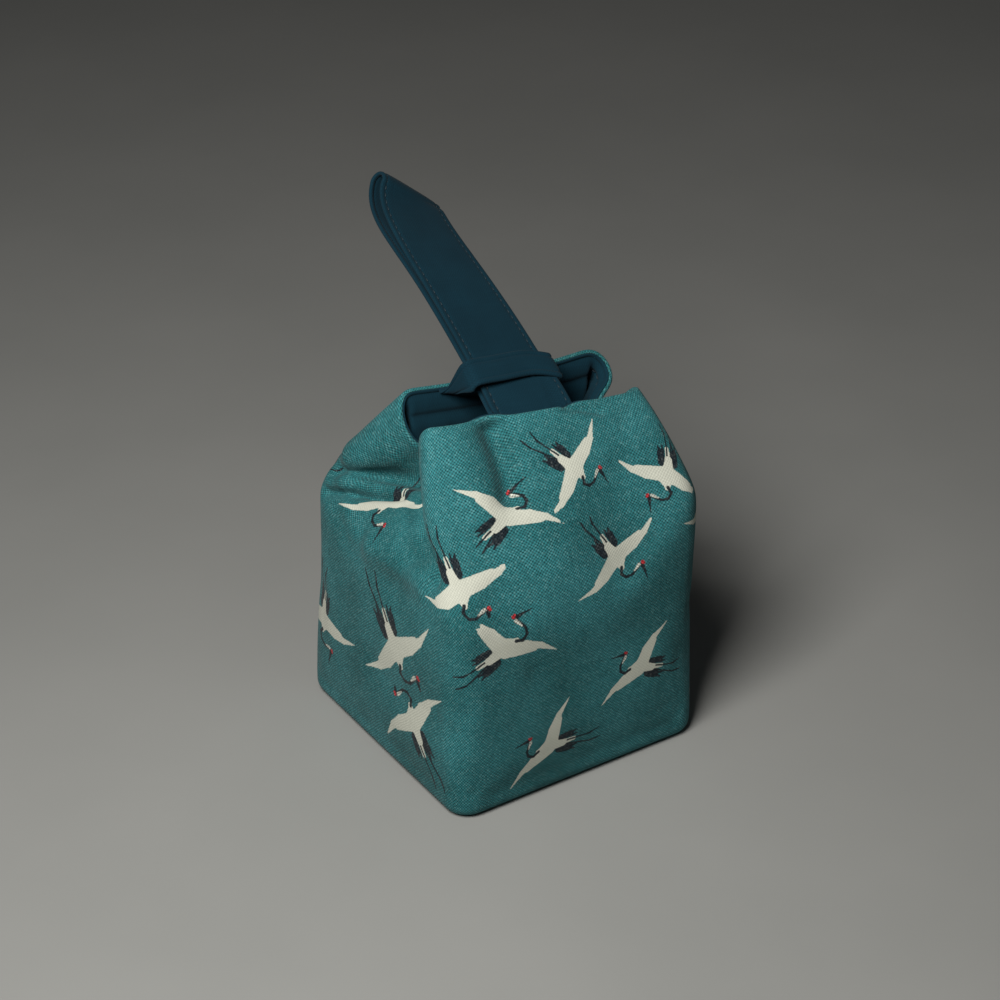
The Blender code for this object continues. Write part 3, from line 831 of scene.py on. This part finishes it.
def strap_middle():
    """The strap's middle surface: rows along the loop, from the foot to the foot."""
    count, across = 72, np.linspace(-0.5, 0.5, 15)
    run = strap_run(count)
    leg, sewn = STRAP_T + LEG_GAP, STRAP_CLEAR + STRAP_T / 2
    length = run_along([c for c, d, w, n in run])[-1]
    hold_at = [inside("front", FOOT_X + s * STRAP_W, 0.0, sewn)[0] for s in across]
    heart = inside("front", FOOT_X, 0.0, sewn)[0]
    upper, lower = [], []
    for below in np.linspace(FOOT_DOWN, 0.6, 10):
        spots = [inside("front", FOOT_X + s * STRAP_W, below, sewn) for s in across]
        upper.append([p for p, n in spots])
        lower.append([p - n * leg for p, n in spots])
    for k, (c, d, w, n) in enumerate(run):
        t = k / count
        part = smooth(1 - (1 - t) * length / OPEN_LENGTH)
        mid = c - n * STRAP_T / 2
        hold = 1.0 - smooth(t * 6)
        row = [(mid + w * (s * STRAP_W)) * (1 - hold) + (mid + (h - heart)) * hold
               for s, h in zip(across, hold_at)]
        upper.append(row)
        # the lower leg hangs like a shallow trough, so the loop stands open on its left side
        open_by = TIP_OPEN * part * (1.15 - 0.95 * (across + 0.5) + 0.7 * (1 - abs(2 * across) ** 4))
        lower.append([p - n * (leg + o) for p, o in zip(row, open_by)])
    c, d, w, n = run[-1]
    tip = []
    for a in (pi * k / 12 for k in range(1, 12)):
        ends = [((p + q) / 2, np.linalg.norm(p - q) / 2) for p, q in zip(upper[-1], lower[-1])]
        tip.append([mid + n * radius * cos(a) + d * radius * sin(a) for mid, radius in ends])
    return np.array(upper + tip + lower[::-1])


strap_mid = strap_middle()
print("strap:", strap_mid.shape[0], "rows,", strap_mid.shape[1], "points across")

# %% Rounded section along a middle surface
GROOVE_HALF = 0.42               # half the width of a stitch groove, mm


def section(width, thick, groove_at=2.0, groove=0.22):
    """Ring of (across 0..1, height) for a flat band with rounded edges and two stitch grooves."""
    e = thick / 2
    inner = np.unique(np.r_[e, 1.3, 1.6, 1.85, 2.0, 2.15, 2.4, 2.8, np.linspace(3.6, width / 2, 7)])
    spots = np.r_[inner, (width - inner)[::-1][1:]]
    edge_gap = np.minimum(spots, width - spots)
    height = e - groove * np.exp(-((edge_gap - groove_at) / GROOVE_HALF) ** 2)
    turn = np.linspace(0, pi, 7)[1:-1]
    ring = [(a / width, h) for a, h in zip(spots, height)]
    ring += [((width - e + e * sin(a)) / width, e * cos(a)) for a in turn]
    ring += [(a / width, -h) for a, h in zip(spots[::-1], height)]
    ring += [((e - e * sin(a)) / width, -e * cos(a)) for a in turn]
    return ring


def facing(middle):
    """Unit normals of a middle surface."""
    return unit(np.cross(np.gradient(middle, axis=1), np.gradient(middle, axis=0)))


def sweep_band(name, middle, ring):
    """Carries a section along a middle surface and closes both ends."""
    face = facing(middle)
    steps = np.linspace(0, 1, middle.shape[1])
    run = run_along(middle.mean(axis=1))
    wide = np.linalg.norm(middle[:, -1] - middle[:, 0], axis=1).mean()
    rows, uv = [], []
    for j in range(len(middle)):
        row = []
        for a, h in ring:
            p, n = (np.array([np.interp(a, steps, s[j, :, k]) for k in range(3)])
                    for s in (middle, face))
            row.append(p + unit(n) * h)
        rows.append(row)
        uv.append([(a * wide + (80 if h < 0 else 0), run[j]) for a, h in ring + ring[:1]])
    obj = lay_grid(name, np.array(rows), uv=np.array(uv))
    bm = bmesh.new()
    bm.from_mesh(obj.data)
    bmesh.ops.holes_fill(bm, edges=[e for e in bm.edges if e.is_boundary], sides=0)
    bmesh.ops.recalc_face_normals(bm, faces=bm.faces[:])
    bm.to_mesh(obj.data)
    bm.free()
    return obj


strap = sweep_band("strap_loop", strap_mid, section(STRAP_W, STRAP_T))
print("strap faces:", len(strap.data.polygons))

# %% [markdown]
# ## The keeper
#
# A second band lies across the strap and is sewn to the back rim at both its ends, so the
# strap can slide but not leave. A smooth curve through a dozen stations gives its middle.

# %% Keeper band
KEEP_ALONG, KEEP_W, KEEP_T, KEEP_CLEAR, KEEP_PLAY = 12.4, 11.2, 1.8, 0.8, 2.8
KEEP_ENDS = (                    # x, below the rim, less deep than the strap's clearance (mm)
    (-15.6, 0.0, 3.6), (-11.0, 0.6, 3.0), (26.4, 1.4, 0), (24.8, 5.5, 0))
KEEP_GROOVE, KEEP_GROOVE_DEPTH = 2.2, 0.34


def through(stations, count):
    """Smooth curve (Catmull-Rom) through rows of points."""
    s = np.array(stations)
    s = np.concatenate([[2 * s[0] - s[1]], s, [2 * s[-1] - s[-2]]])
    out = []
    for k in range(1, len(s) - 2):
        for t in np.linspace(0, 1, count, endpoint=False):
            out.append(0.5 * (2 * s[k] + (s[k + 1] - s[k - 1]) * t
                              + (2 * s[k - 1] - 5 * s[k] + 4 * s[k + 1] - s[k + 2]) * t * t
                              + (3 * s[k] - s[k - 1] - 3 * s[k + 1] + s[k + 2]) * t**3))
    out.append(s[-2])
    return np.array(out)


def keeper_middle():
    """The keeper's middle surface, from its left foot over the strap to its right foot."""
    run = strap_run(60)
    along = run_along([c for c, d, w, n in run])
    half, middle = STRAP_W / 2, KEEP_T / 2
    side = half + KEEP_PLAY
    depth = STRAP_CLEAR + 0.9 + middle

    def on_strap(far, across, above):
        c, d, w, n = run[int(round(np.interp(far, along, np.arange(61))))]
        return c + w * across + n * above

    def over(x):
        p, q = (inside("back", x, below, WALL * 0.6)[0] for below in (0.0, 3.0))
        return p + unit(p - q) * (1.5 + middle)

    lb, lf, rb, rf = (inside("back", x, below, depth - less)[0] for x, below, less in KEEP_ENDS)
    band = []
    for across, above in ((-side - 0.6, -3.0), (-side, -0.7), (-half - 0.9, KEEP_CLEAR),
                          (-half * 0.45, KEEP_CLEAR), (half * 0.45, KEEP_CLEAR),
                          (half + 0.6, KEEP_CLEAR), (side - 1.6, -0.8), (side - 1.3, -3.2)):
        tilt = 0.5 - across / (2 * half)           # the band lies a little slanted
        band.append((on_strap(KEEP_ALONG + 1.3 * tilt, across, above + middle),
                     on_strap(KEEP_ALONG + KEEP_W - 1.0 * (1 - tilt), across, above + middle)))
    left_over = over((KEEP_ENDS[0][0] + band[0][1][0]) / 2)
    right_over = over((KEEP_ENDS[2][0] + band[-1][1][0]) / 2)
    stations = [(lf, lb), ((lf + band[0][0]) / 2, left_over)] + band
    stations += [((rf + band[-1][0]) / 2, right_over), (rf, rb)]
    rows = [[a + (b - a) * s for s in np.linspace(0, 1, 9)] for a, b in stations]
    return through(rows, 10)


keeper_mid = keeper_middle()
keeper = sweep_band("keeper_band", keeper_mid, section(KEEP_W, KEEP_T, KEEP_GROOVE, KEEP_GROOVE_DEPTH))
print("keeper faces:", len(keeper.data.polygons))

# %% [markdown]
# ## Stitches
#
# Thread is what tells sewn cloth from moulded plastic. A stitch is a short spindle that dips
# into the cloth at both ends, so a squeezed icosphere of twenty faces is enough for each.

# %% Rows of stitches
STITCH, STITCH_GAP, THREAD = 2.1, 0.6, 0.24     # mm: length, space between, thread radius
STRAP_SEAM = 2.0                                # mm from the strap's edges


def sew(bm, line):
    """Lays stitches end to end along a line of points."""
    run = run_along(line)
    for k in range(int(run[-1] / (STITCH + STITCH_GAP))):
        a = k * (STITCH + STITCH_GAP) + STITCH_GAP
        p, q = (Vector([np.interp(x, run, line[:, c]) for c in range(3)]) for x in (a, a + STITCH))
        turn = (q - p).to_track_quat("Z", "Y").to_matrix().to_4x4()
        size = Matrix.Diagonal((THREAD * MM, THREAD * MM, (q - p).length * 0.52 * MM, 1.0))
        bmesh.ops.create_icosphere(bm, subdivisions=1, radius=1.0,
                                   matrix=Matrix.Translation((p + q) * 0.5 * MM) @ turn @ size)


def on_band(middle, share, height):
    """A line along a band, at a share of its width, above its middle surface."""
    raised = middle + facing(middle) * height
    at = share * (middle.shape[1] - 1)
    a, w = int(at), at - int(at)
    b = min(a + 1, middle.shape[1] - 1)
    return raised[:, a] * (1 - w) + raised[:, b] * w


def stitch_rows(name, lines):
    bm = bmesh.new()
    for line in lines:
        sew(bm, line)
    return finish_mesh(name, bm)


def both_edges(middle, share, height, skip):
    """Lines along both edges of a band, without its ends."""
    return [on_band(middle, s, height)[skip:-skip] for s in (share, 1 - share)]


strap_stitches = stitch_rows("strap_stitches",
                             both_edges(strap_mid, STRAP_SEAM / STRAP_W, STRAP_T / 2 - 0.14, 8))
keeper_stitches = stitch_rows("keeper_stitches",
                              both_edges(keeper_mid, KEEP_GROOVE / KEEP_W, KEEP_T / 2 - 0.24, 14))
mouth_stitches = stitch_rows("mouth_stitches", [np.concatenate([lining_seam, lining_seam[:1]])])
print("stitch faces:", [len(o.data.polygons) for o in (strap_stitches, keeper_stitches, mouth_stitches)])

# %% [markdown]
# ## One brush stroke
#
# The cranes are printed, so they belong in the material, not in the mesh. Each bird is a set
# of brush strokes: a stroke is a line that is thicker at one end, and a small node group
# gives the distance to it. Below zero is ink. Strokes join where the smaller distance wins.

# %% Stroke group


def new_group(name, inputs, outputs):
    """A node group: its tree, its input sockets and its output node."""
    tree = bpy.data.node_groups.new(name, "ShaderNodeTree")
    for label, kind in inputs:
        tree.interface.new_socket(label, in_out="INPUT", socket_type="NodeSocket" + kind)
    for label in outputs:
        tree.interface.new_socket(label, in_out="OUTPUT", socket_type="NodeSocketFloat")
    return tree, add(tree, "NodeGroupInput").outputs, add(tree, "NodeGroupOutput")


stroke, given, result = new_group(
    "brush_stroke", [("Place", "Vector"), ("From", "Vector"), ("To", "Vector"),
                     ("Start", "Float"), ("End", "Float")], ["Distance"])
span = add(stroke, "VectorMath SUBTRACT", {}, {0: given["To"], 1: given["From"]})
step = add(stroke, "VectorMath SUBTRACT", {}, {0: given["Place"], 1: given["From"]})
reach = add(stroke, "VectorMath DOT_PRODUCT", {}, {0: step, 1: span})
whole = add(stroke, "VectorMath DOT_PRODUCT", {}, {0: span, 1: span})
share = add(stroke, "Math DIVIDE", {"use_clamp": True}, {0: reach, 1: whole})
foot = add(stroke, "VectorMath SCALE", {}, {0: span, "Scale": share})
gap = add(stroke, "VectorMath DISTANCE", {}, {0: step, 1: foot})
brush = add(stroke, "Mix FLOAT", {}, {0: share, 2: given["Start"], 3: given["End"]})
ink = add(stroke, "Math SUBTRACT", {}, {0: gap, 1: brush})
feed(stroke, result, {"Distance": ink})


def draw(tree, place, strokes, blend=0.5):
    """Distance to a set of strokes (x, y, radius, x, y, radius), in mm."""
    near = None
    for x0, y0, r0, x1, y1, r1 in strokes:
        one = add(tree, "Group", {"node_tree": stroke, "From": (x0, y0, 0), "To": (x1, y1, 0),
                                  "Start": r0, "End": r1}, {"Place": place})
        near = add(tree, "Math SMOOTH_MIN", {2: blend}, {0: near, 1: one}) if near else one
    return near


print("stroke group:", len(stroke.nodes), "nodes")

# %% [markdown]
# ## One crane
#
# In its own coordinates the bird flies along x. White body and wings, black tail plumes,
# thin trailing legs, a dark curved neck and a red crown are the traditional figure. A wing
# is drawn once and used twice: the second is turned by the sweep that each bird carries.

# %% Wing and bird groups
wing, given, result = new_group("crane_wing", [("Place", "Vector")], ["Distance"])
feather_strokes = draw(wing, given["Place"], [
    (0.5, 0.2, 2.4, 6.5, 1.3, 1.8), (6.5, 1.3, 1.8, 12.0, 1.2, 1.1),
    (12.0, 1.2, 1.1, 18.5, -0.6, 0.12), (0.5, -1.3, 1.6, 10.5, 0.0, 0.7)])
feed(wing, result, {"Distance": feather_strokes})

bird, given, result = new_group("crane", [("Place", "Vector")],
                                ["White", "Plume", "Line", "Cheek", "Crown"])
parts = add(bird, "SeparateXYZ", {}, {0: given["Place"]}).outputs      # the third is the sweep
flat = add(bird, "CombineXYZ", {}, {0: parts[0], 1: parts[1]})
ragged = add(bird, "TexNoise", {"Scale": 1.3, "Detail": 2.0}, {"Vector": flat}).outputs["Color"]
shift = add(bird, "VectorMath MULTIPLY_ADD", {1: (0.5, 0.5, 0), 2: (-0.25, -0.25, 0)}, {0: ragged})
place = add(bird, "VectorMath ADD", {}, {0: flat, 1: shift})
wings = []
for side, swept in ((1, -0.3), (-1, -1.0)):
    angle = add(bird, "Math MULTIPLY_ADD", {1: swept, 2: -side * pi / 2}, {0: parts[2]})
    turned = add(bird, "VectorRotate", {"rotation_type": "Z_AXIS", "Center": (1.0, 0.6 * side, 0)},
                 {"Vector": place, "Angle": angle})
    moved = add(bird, "VectorMath MULTIPLY_ADD", {1: (1, -side, 0), 2: (-1.0, 0.6, 0)}, {0: turned})
    wings.append(add(bird, "Group", {"node_tree": wing}, {"Place": moved}))
both = add(bird, "Math MINIMUM", {}, {0: wings[0], 1: wings[1]})
body = draw(bird, place, [(-4.2, 0.2, 1.5, 2.6, 0, 2.3), (2.6, 0, 2.2, 5.4, -0.9, 0.9),
                          (-4, 0.2, 1.2, -8.6, 1.0, 0.8)])
marks = {
    "White": add(bird, "Math SMOOTH_MIN", {2: 1.2}, {0: both, 1: body}),
    "Plume": draw(bird, place, [
        (-3.2, 2.4, 1.5, -6.6, 3.6, 1.2), (-3.6, -1.9, 1.9, -7.0, -2.5, 1.6),
        (-6.6, 3.4, 0.8, -8.8, 4.6, 0.25), (-6.8, 2.6, 0.7, -9.4, 3.0, 0.25),
        (-7.0, -2.2, 0.8, -10.2, -1.7, 0.3), (-7.0, -2.8, 0.8, -9.8, -3.6, 0.3)]),
    "Line": draw(bird, place, [
        (-6.0, -0.6, 0.35, -15.5, -1.9, 0.28), (-15.5, -1.9, 0.4, -19.5, -1.2, 0.25),
        (-6.0, 0.9, 0.35, -14.5, 1.4, 0.28), (-14.5, 1.4, 0.4, -18.0, 2.9, 0.25),
        (5.2, -1.0, 0.55, 6.9, -2.6, 0.5), (6.9, -2.6, 0.5, 9.0, -2.0, 0.48),
        (9.0, -2.0, 0.48, 10.0, 0.2, 0.42), (10.0, 0.2, 0.42, 9.6, 3.4, 0.42),
        (9.9, 4.6, 0.75, 11.2, 4.3, 0.55), (11.2, 4.3, 0.5, 15.2, 2.9, 0.12)], 0.2),
    "Cheek": draw(bird, place, [(9.5, 1.4, 0.25, 9.1, 3.9, 0.55)]),
    "Crown": draw(bird, place, [(9.4, 5.4, 0.62, 10.0, 5.5, 0.5)])}
for label, gap in marks.items():
    inked = add(bird, "MapRange", {"From Min": -0.12, "From Max": 0.12, "To Min": 1.0, "To Max": 0.0},
                {"Value": gap})
    feed(bird, result, {label: inked})
print("bird group:", len(bird.nodes), "nodes")

# %% [markdown]
# ## Plain weave
#
# Canvas and lining are plain weave: each thread passes over one and under the next. The
# product of two sines gives that chequer of raised spots. On the real canvas the spots look
# about 0.7 mm apart, but that is only two pixels of its picture, so its threads can't be
# counted. They are drawn 0.5 to 0.6 mm apart, about the finest that shows here. Long, thin
# noise along each direction makes the slubs, the thicker places of a linen thread, and each
# crossing gets a tone of its own.

# %% Weave group


def weave_group(name, pitch, slub):
    tree, given, result = new_group(name, [("Cloth", "Vector")], ["Height", "Thread", "Crossing"])
    cloth = given["Cloth"]
    wobble = add(tree, "TexNoise", {"Scale": 0.35, "Detail": 2.0}, {"Vector": cloth}).outputs["Color"]
    bent = add(tree, "VectorMath MULTIPLY_ADD", {1: (0.9, 0.9, 0)}, {0: wobble, 2: cloth})
    spread = add(tree, "VectorMath SCALE", {"Scale": pi / pitch}, {0: bent})
    axes = add(tree, "SeparateXYZ", {}, {0: spread}).outputs
    warp, weft = (add(tree, "Math SINE", {}, {0: axes[k]}) for k in (0, 1))
    chequer = add(tree, "Math MULTIPLY", {}, {0: warp, 1: weft})
    threads = []
    for stretch in ((1.5 / pitch, 0.06, 1), (0.06, 1.5 / pitch, 1)):
        long_way = add(tree, "VectorMath MULTIPLY", {1: stretch}, {0: cloth})
        threads.append(add(tree, "TexNoise", {"Scale": 1.0, "Detail": 3.0}, {"Vector": long_way}))
    uneven = add(tree, "Math ADD", {}, {0: threads[0], 1: threads[1]})
    thread = add(tree, "MapRange", {"From Min": 0.75, "From Max": 1.25}, {"Value": uneven})
    raised = add(tree, "MapRange", {"From Min": -1.0, "From Max": 1.0}, {"Value": chequer})
    height = add(tree, "Mix FLOAT", {0: slub}, {2: raised, 3: thread})
    cell = add(tree, "VectorMath SCALE", {"Scale": 1 / pitch}, {0: bent})
    whole = add(tree, "VectorMath FLOOR", {}, {0: cell})
    crossing = add(tree, "TexWhiteNoise", {"noise_dimensions": "3D"}, {"Vector": whole})
    feed(tree, result, {"Height": height, "Thread": thread, "Crossing": crossing.outputs["Value"]})
    return tree


canvas_weave = weave_group("canvas_weave", 0.6, 0.12)
cotton_weave = weave_group("cotton_weave", 0.5, 0.3)


def weave_at(tree, group):
    """The outputs of a weave on the flat cloth of a material."""
    cloth = add(tree, "UVMap", {"uv_map": "cloth_mm"})
    return add(tree, "Group", {"node_tree": group}, {"Cloth": cloth}).outputs


def woven_look(tree, shader, weave, colour, painted_thread_shade, fuzz, soft, thread, even):
    """Paints shade between the threads and lightens the raised threads: the colour times the shade
    factor.
    Fuzz (a scale) and threads become bumps, each with its strength and distance, and even threads are
    smoother."""
    space = add(tree, "TexCoord").outputs["Object"]
    # painted shade: the colour darker between the threads and lighter on the raised threads
    colour_with_painted_shade = add(tree, "VectorMath SCALE", {}, {0: colour, "Scale": painted_thread_shade})
    fibres = add(tree, "TexNoise", {"Scale": fuzz, "Detail": 3.0}, {"Vector": space})
    soft_bump = add(tree, "Bump", {"Strength": soft[0], "Distance": soft[1]}, {"Height": fibres})
    thread_bump = add(tree, "Bump", {"Strength": thread[0], "Distance": thread[1]},
                      {"Height": weave["Height"], "Normal": soft_bump})
    rough = add(tree, "MapRange", {"To Min": 0.95, "To Max": even}, {"Value": weave["Thread"]})
    feed(tree, shader, {"Base Color": colour_with_painted_shade, "Normal": thread_bump, "Roughness": rough})


print("weaves:", canvas_weave.name, cotton_weave.name)

# %% [markdown]
# ## Printed cotton and linen canvas
#
# A natural canvas, printed teal with a cloudy ground. Painted shade darkens the gaps between the
# threads and the raised threads are painted lighter; the white ink is thick and nearly fills the
# gaps, so it takes less of that shade. The cloth is matt: a rough surface with a little sheen from the
# loose fibres.

# %% Canvas material
teal, tree, shader = new_material("printed_cotton_linen_canvas", {
    "Sheen Weight": 0.05, "Sheen Roughness": 0.5, "Specular IOR Level": 0.18})
space = add(tree, "TexCoord").outputs["Object"]
mark = add(tree, "Attribute", {"attribute_name": "crane"}).outputs["Vector"]
weave = weave_at(tree, canvas_weave)
flock = add(tree, "Group", {"node_tree": bird}, {"Place": mark}).outputs
cloudy = add(tree, "TexNoise", {"Scale": 26.0, "Detail": 4.0, "Roughness": 0.6}, {"Vector": space})
cloud_range = add(tree, "MapRange", {"From Min": 0.35, "From Max": 0.65}, {"Value": cloudy})
colour = add(tree, "Mix RGBA", {6: "#246468", 7: "#367F85"}, {0: cloud_range})
for label, ink in (("Plume", "#1D2830"), ("White", "#CDCFC2"), ("Line", "#1B242B"),
                   ("Cheek", "#C4C6BC"), ("Crown", "#B5343A")):
    colour = add(tree, "Mix RGBA", {7: ink}, {0: flock[label], 6: colour})
natural = add(tree, "MapRange", {"From Min": 0.6, "From Max": 1.0, "To Max": 0.12},
              {"Value": weave["Crossing"]})
rubbed = add(tree, "Mix RGBA", {7: "#8E9088"}, {0: natural, 6: colour})
# painted shade in the gaps between the threads and lighter raised threads, from the weave's height,
# times a tone of each crossing
threads = add(tree, "MapRange", {"To Min": 0.2, "To Max": 1.55}, {"Value": weave["Height"]})
dip = add(tree, "MapRange", {"To Min": 0.76, "To Max": 1.2}, {"Value": weave["Crossing"]})
painted_shade_and_crossing_tone = add(tree, "Math MULTIPLY", {}, {0: threads, 1: dip})
filled = add(tree, "Math MULTIPLY", {1: 0.78}, {0: flock["White"]})      # thick white ink
painted_thread_shade = add(tree, "Mix FLOAT", {3: 1.0}, {0: filled, 2: painted_shade_and_crossing_tone})
woven_look(tree, shader, weave, rubbed, painted_thread_shade, 140.0, (0.35, 0.0006), (0.6, 0.00018), 0.8)
print("canvas material:", len(tree.nodes), "nodes")

# %% [markdown]
# ## Dyed cotton
#
# Strap, keeper and lining are plain petrol cotton, dyed in the piece. Dye takes unevenly,
# so the tone drifts a little. Painted shade darkens the gaps between the threads.

# %% Petrol cotton


def dyed_cotton(name, dark, light, fuzz_strength):
    mat, tree, shader = new_material(name, {
        "Sheen Weight": 0.03, "Sheen Roughness": 0.5, "Specular IOR Level": 0.12})
    space = add(tree, "TexCoord").outputs["Object"]
    weave = weave_at(tree, cotton_weave)
    drift = add(tree, "TexNoise", {"Scale": 60.0, "Detail": 4.0}, {"Vector": space})
    dye = add(tree, "Mix RGBA", {6: dark, 7: light}, {0: drift})
    # painted shade between the threads and lighter raised threads, from the weave's height
    threads = add(tree, "MapRange", {"To Min": 0.68, "To Max": 1.12}, {"Value": weave["Height"]})
    woven_look(tree, shader, weave, dye, threads, 170.0, (fuzz_strength, 0.0005), (0.5, 0.00015), 0.82)
    return mat


petrol = dyed_cotton("dyed_cotton_lining", "#0B2A38", "#133B49", 0.5)
tape = dyed_cotton("dyed_cotton_strap", "#0A2936", "#123746", 0.3)
print("dyed cotton:", petrol.name, tape.name)

# %% [markdown]
# ## Sewing thread
#
# Spun polyester thread is smoother than the cloth, so it catches a little more light.

# %% Thread material


def clumpy(name, values, noise, dark, light, strength, distance):
    """A material whose tone and bump follow one noise."""
    mat, tree, shader = new_material(name, values)
    space = add(tree, "TexCoord").outputs["Object"]
    clump = add(tree, "TexNoise", noise, {"Vector": space})
    tone = add(tree, "Mix RGBA", {6: dark, 7: light}, {0: clump})
    bump = add(tree, "Bump", {"Strength": strength, "Distance": distance}, {"Height": clump})
    feed(tree, shader, {"Base Color": tone, "Normal": bump})
    return mat


thread_mat = clumpy("spun_polyester_thread", {"Roughness": 0.6}, {"Scale": 900.0, "Detail": 2.0},
                    "#0A1F28", "#14323F", 0.4, 0.0001)
print("thread:", thread_mat.name)

# %% [markdown]
# ## Fleece
#
# Polyester fleece is a mat of crimped fibres. Only its colour, a soft clumpy height and a
# strong sheen matter, because the two cloths hide it.

# %% Fleece material
white = clumpy("polyester_fleece", {"Roughness": 0.95, "Sheen Weight": 0.4},
               {"Scale": 320.0, "Detail": 5.0, "Distortion": 0.6}, "#C9C6BC", "#E6E4DC", 0.8, 0.0008)
print("fleece:", white.name)

# %% [markdown]
# ## Dressing the pouch
#
# Each piece now gets its finish, rides on the pouch and stands for the solid it refines.

# %% Assign
dress(canvas, teal, "teal_canvas", "outer_wall")
dress(base_canvas, teal, "teal_canvas", "outer_base")
dress(fleece, white, "white_fleece", "wall_padding")
dress(base_fleece, white, "white_fleece", "base_padding")
dress(lining, petrol, "petrol_lining", "lining_wall")
dress(base_lining, petrol, "petrol_lining", "lining_base")
dress(strap, tape, "petrol_strap", "wrist_strap")
dress(keeper, tape, "petrol_strap", "strap_keeper")
dress(strap_stitches, thread_mat, "petrol_strap")
dress(keeper_stitches, thread_mat, "petrol_strap")
dress(mouth_stitches, thread_mat, "petrol_lining")
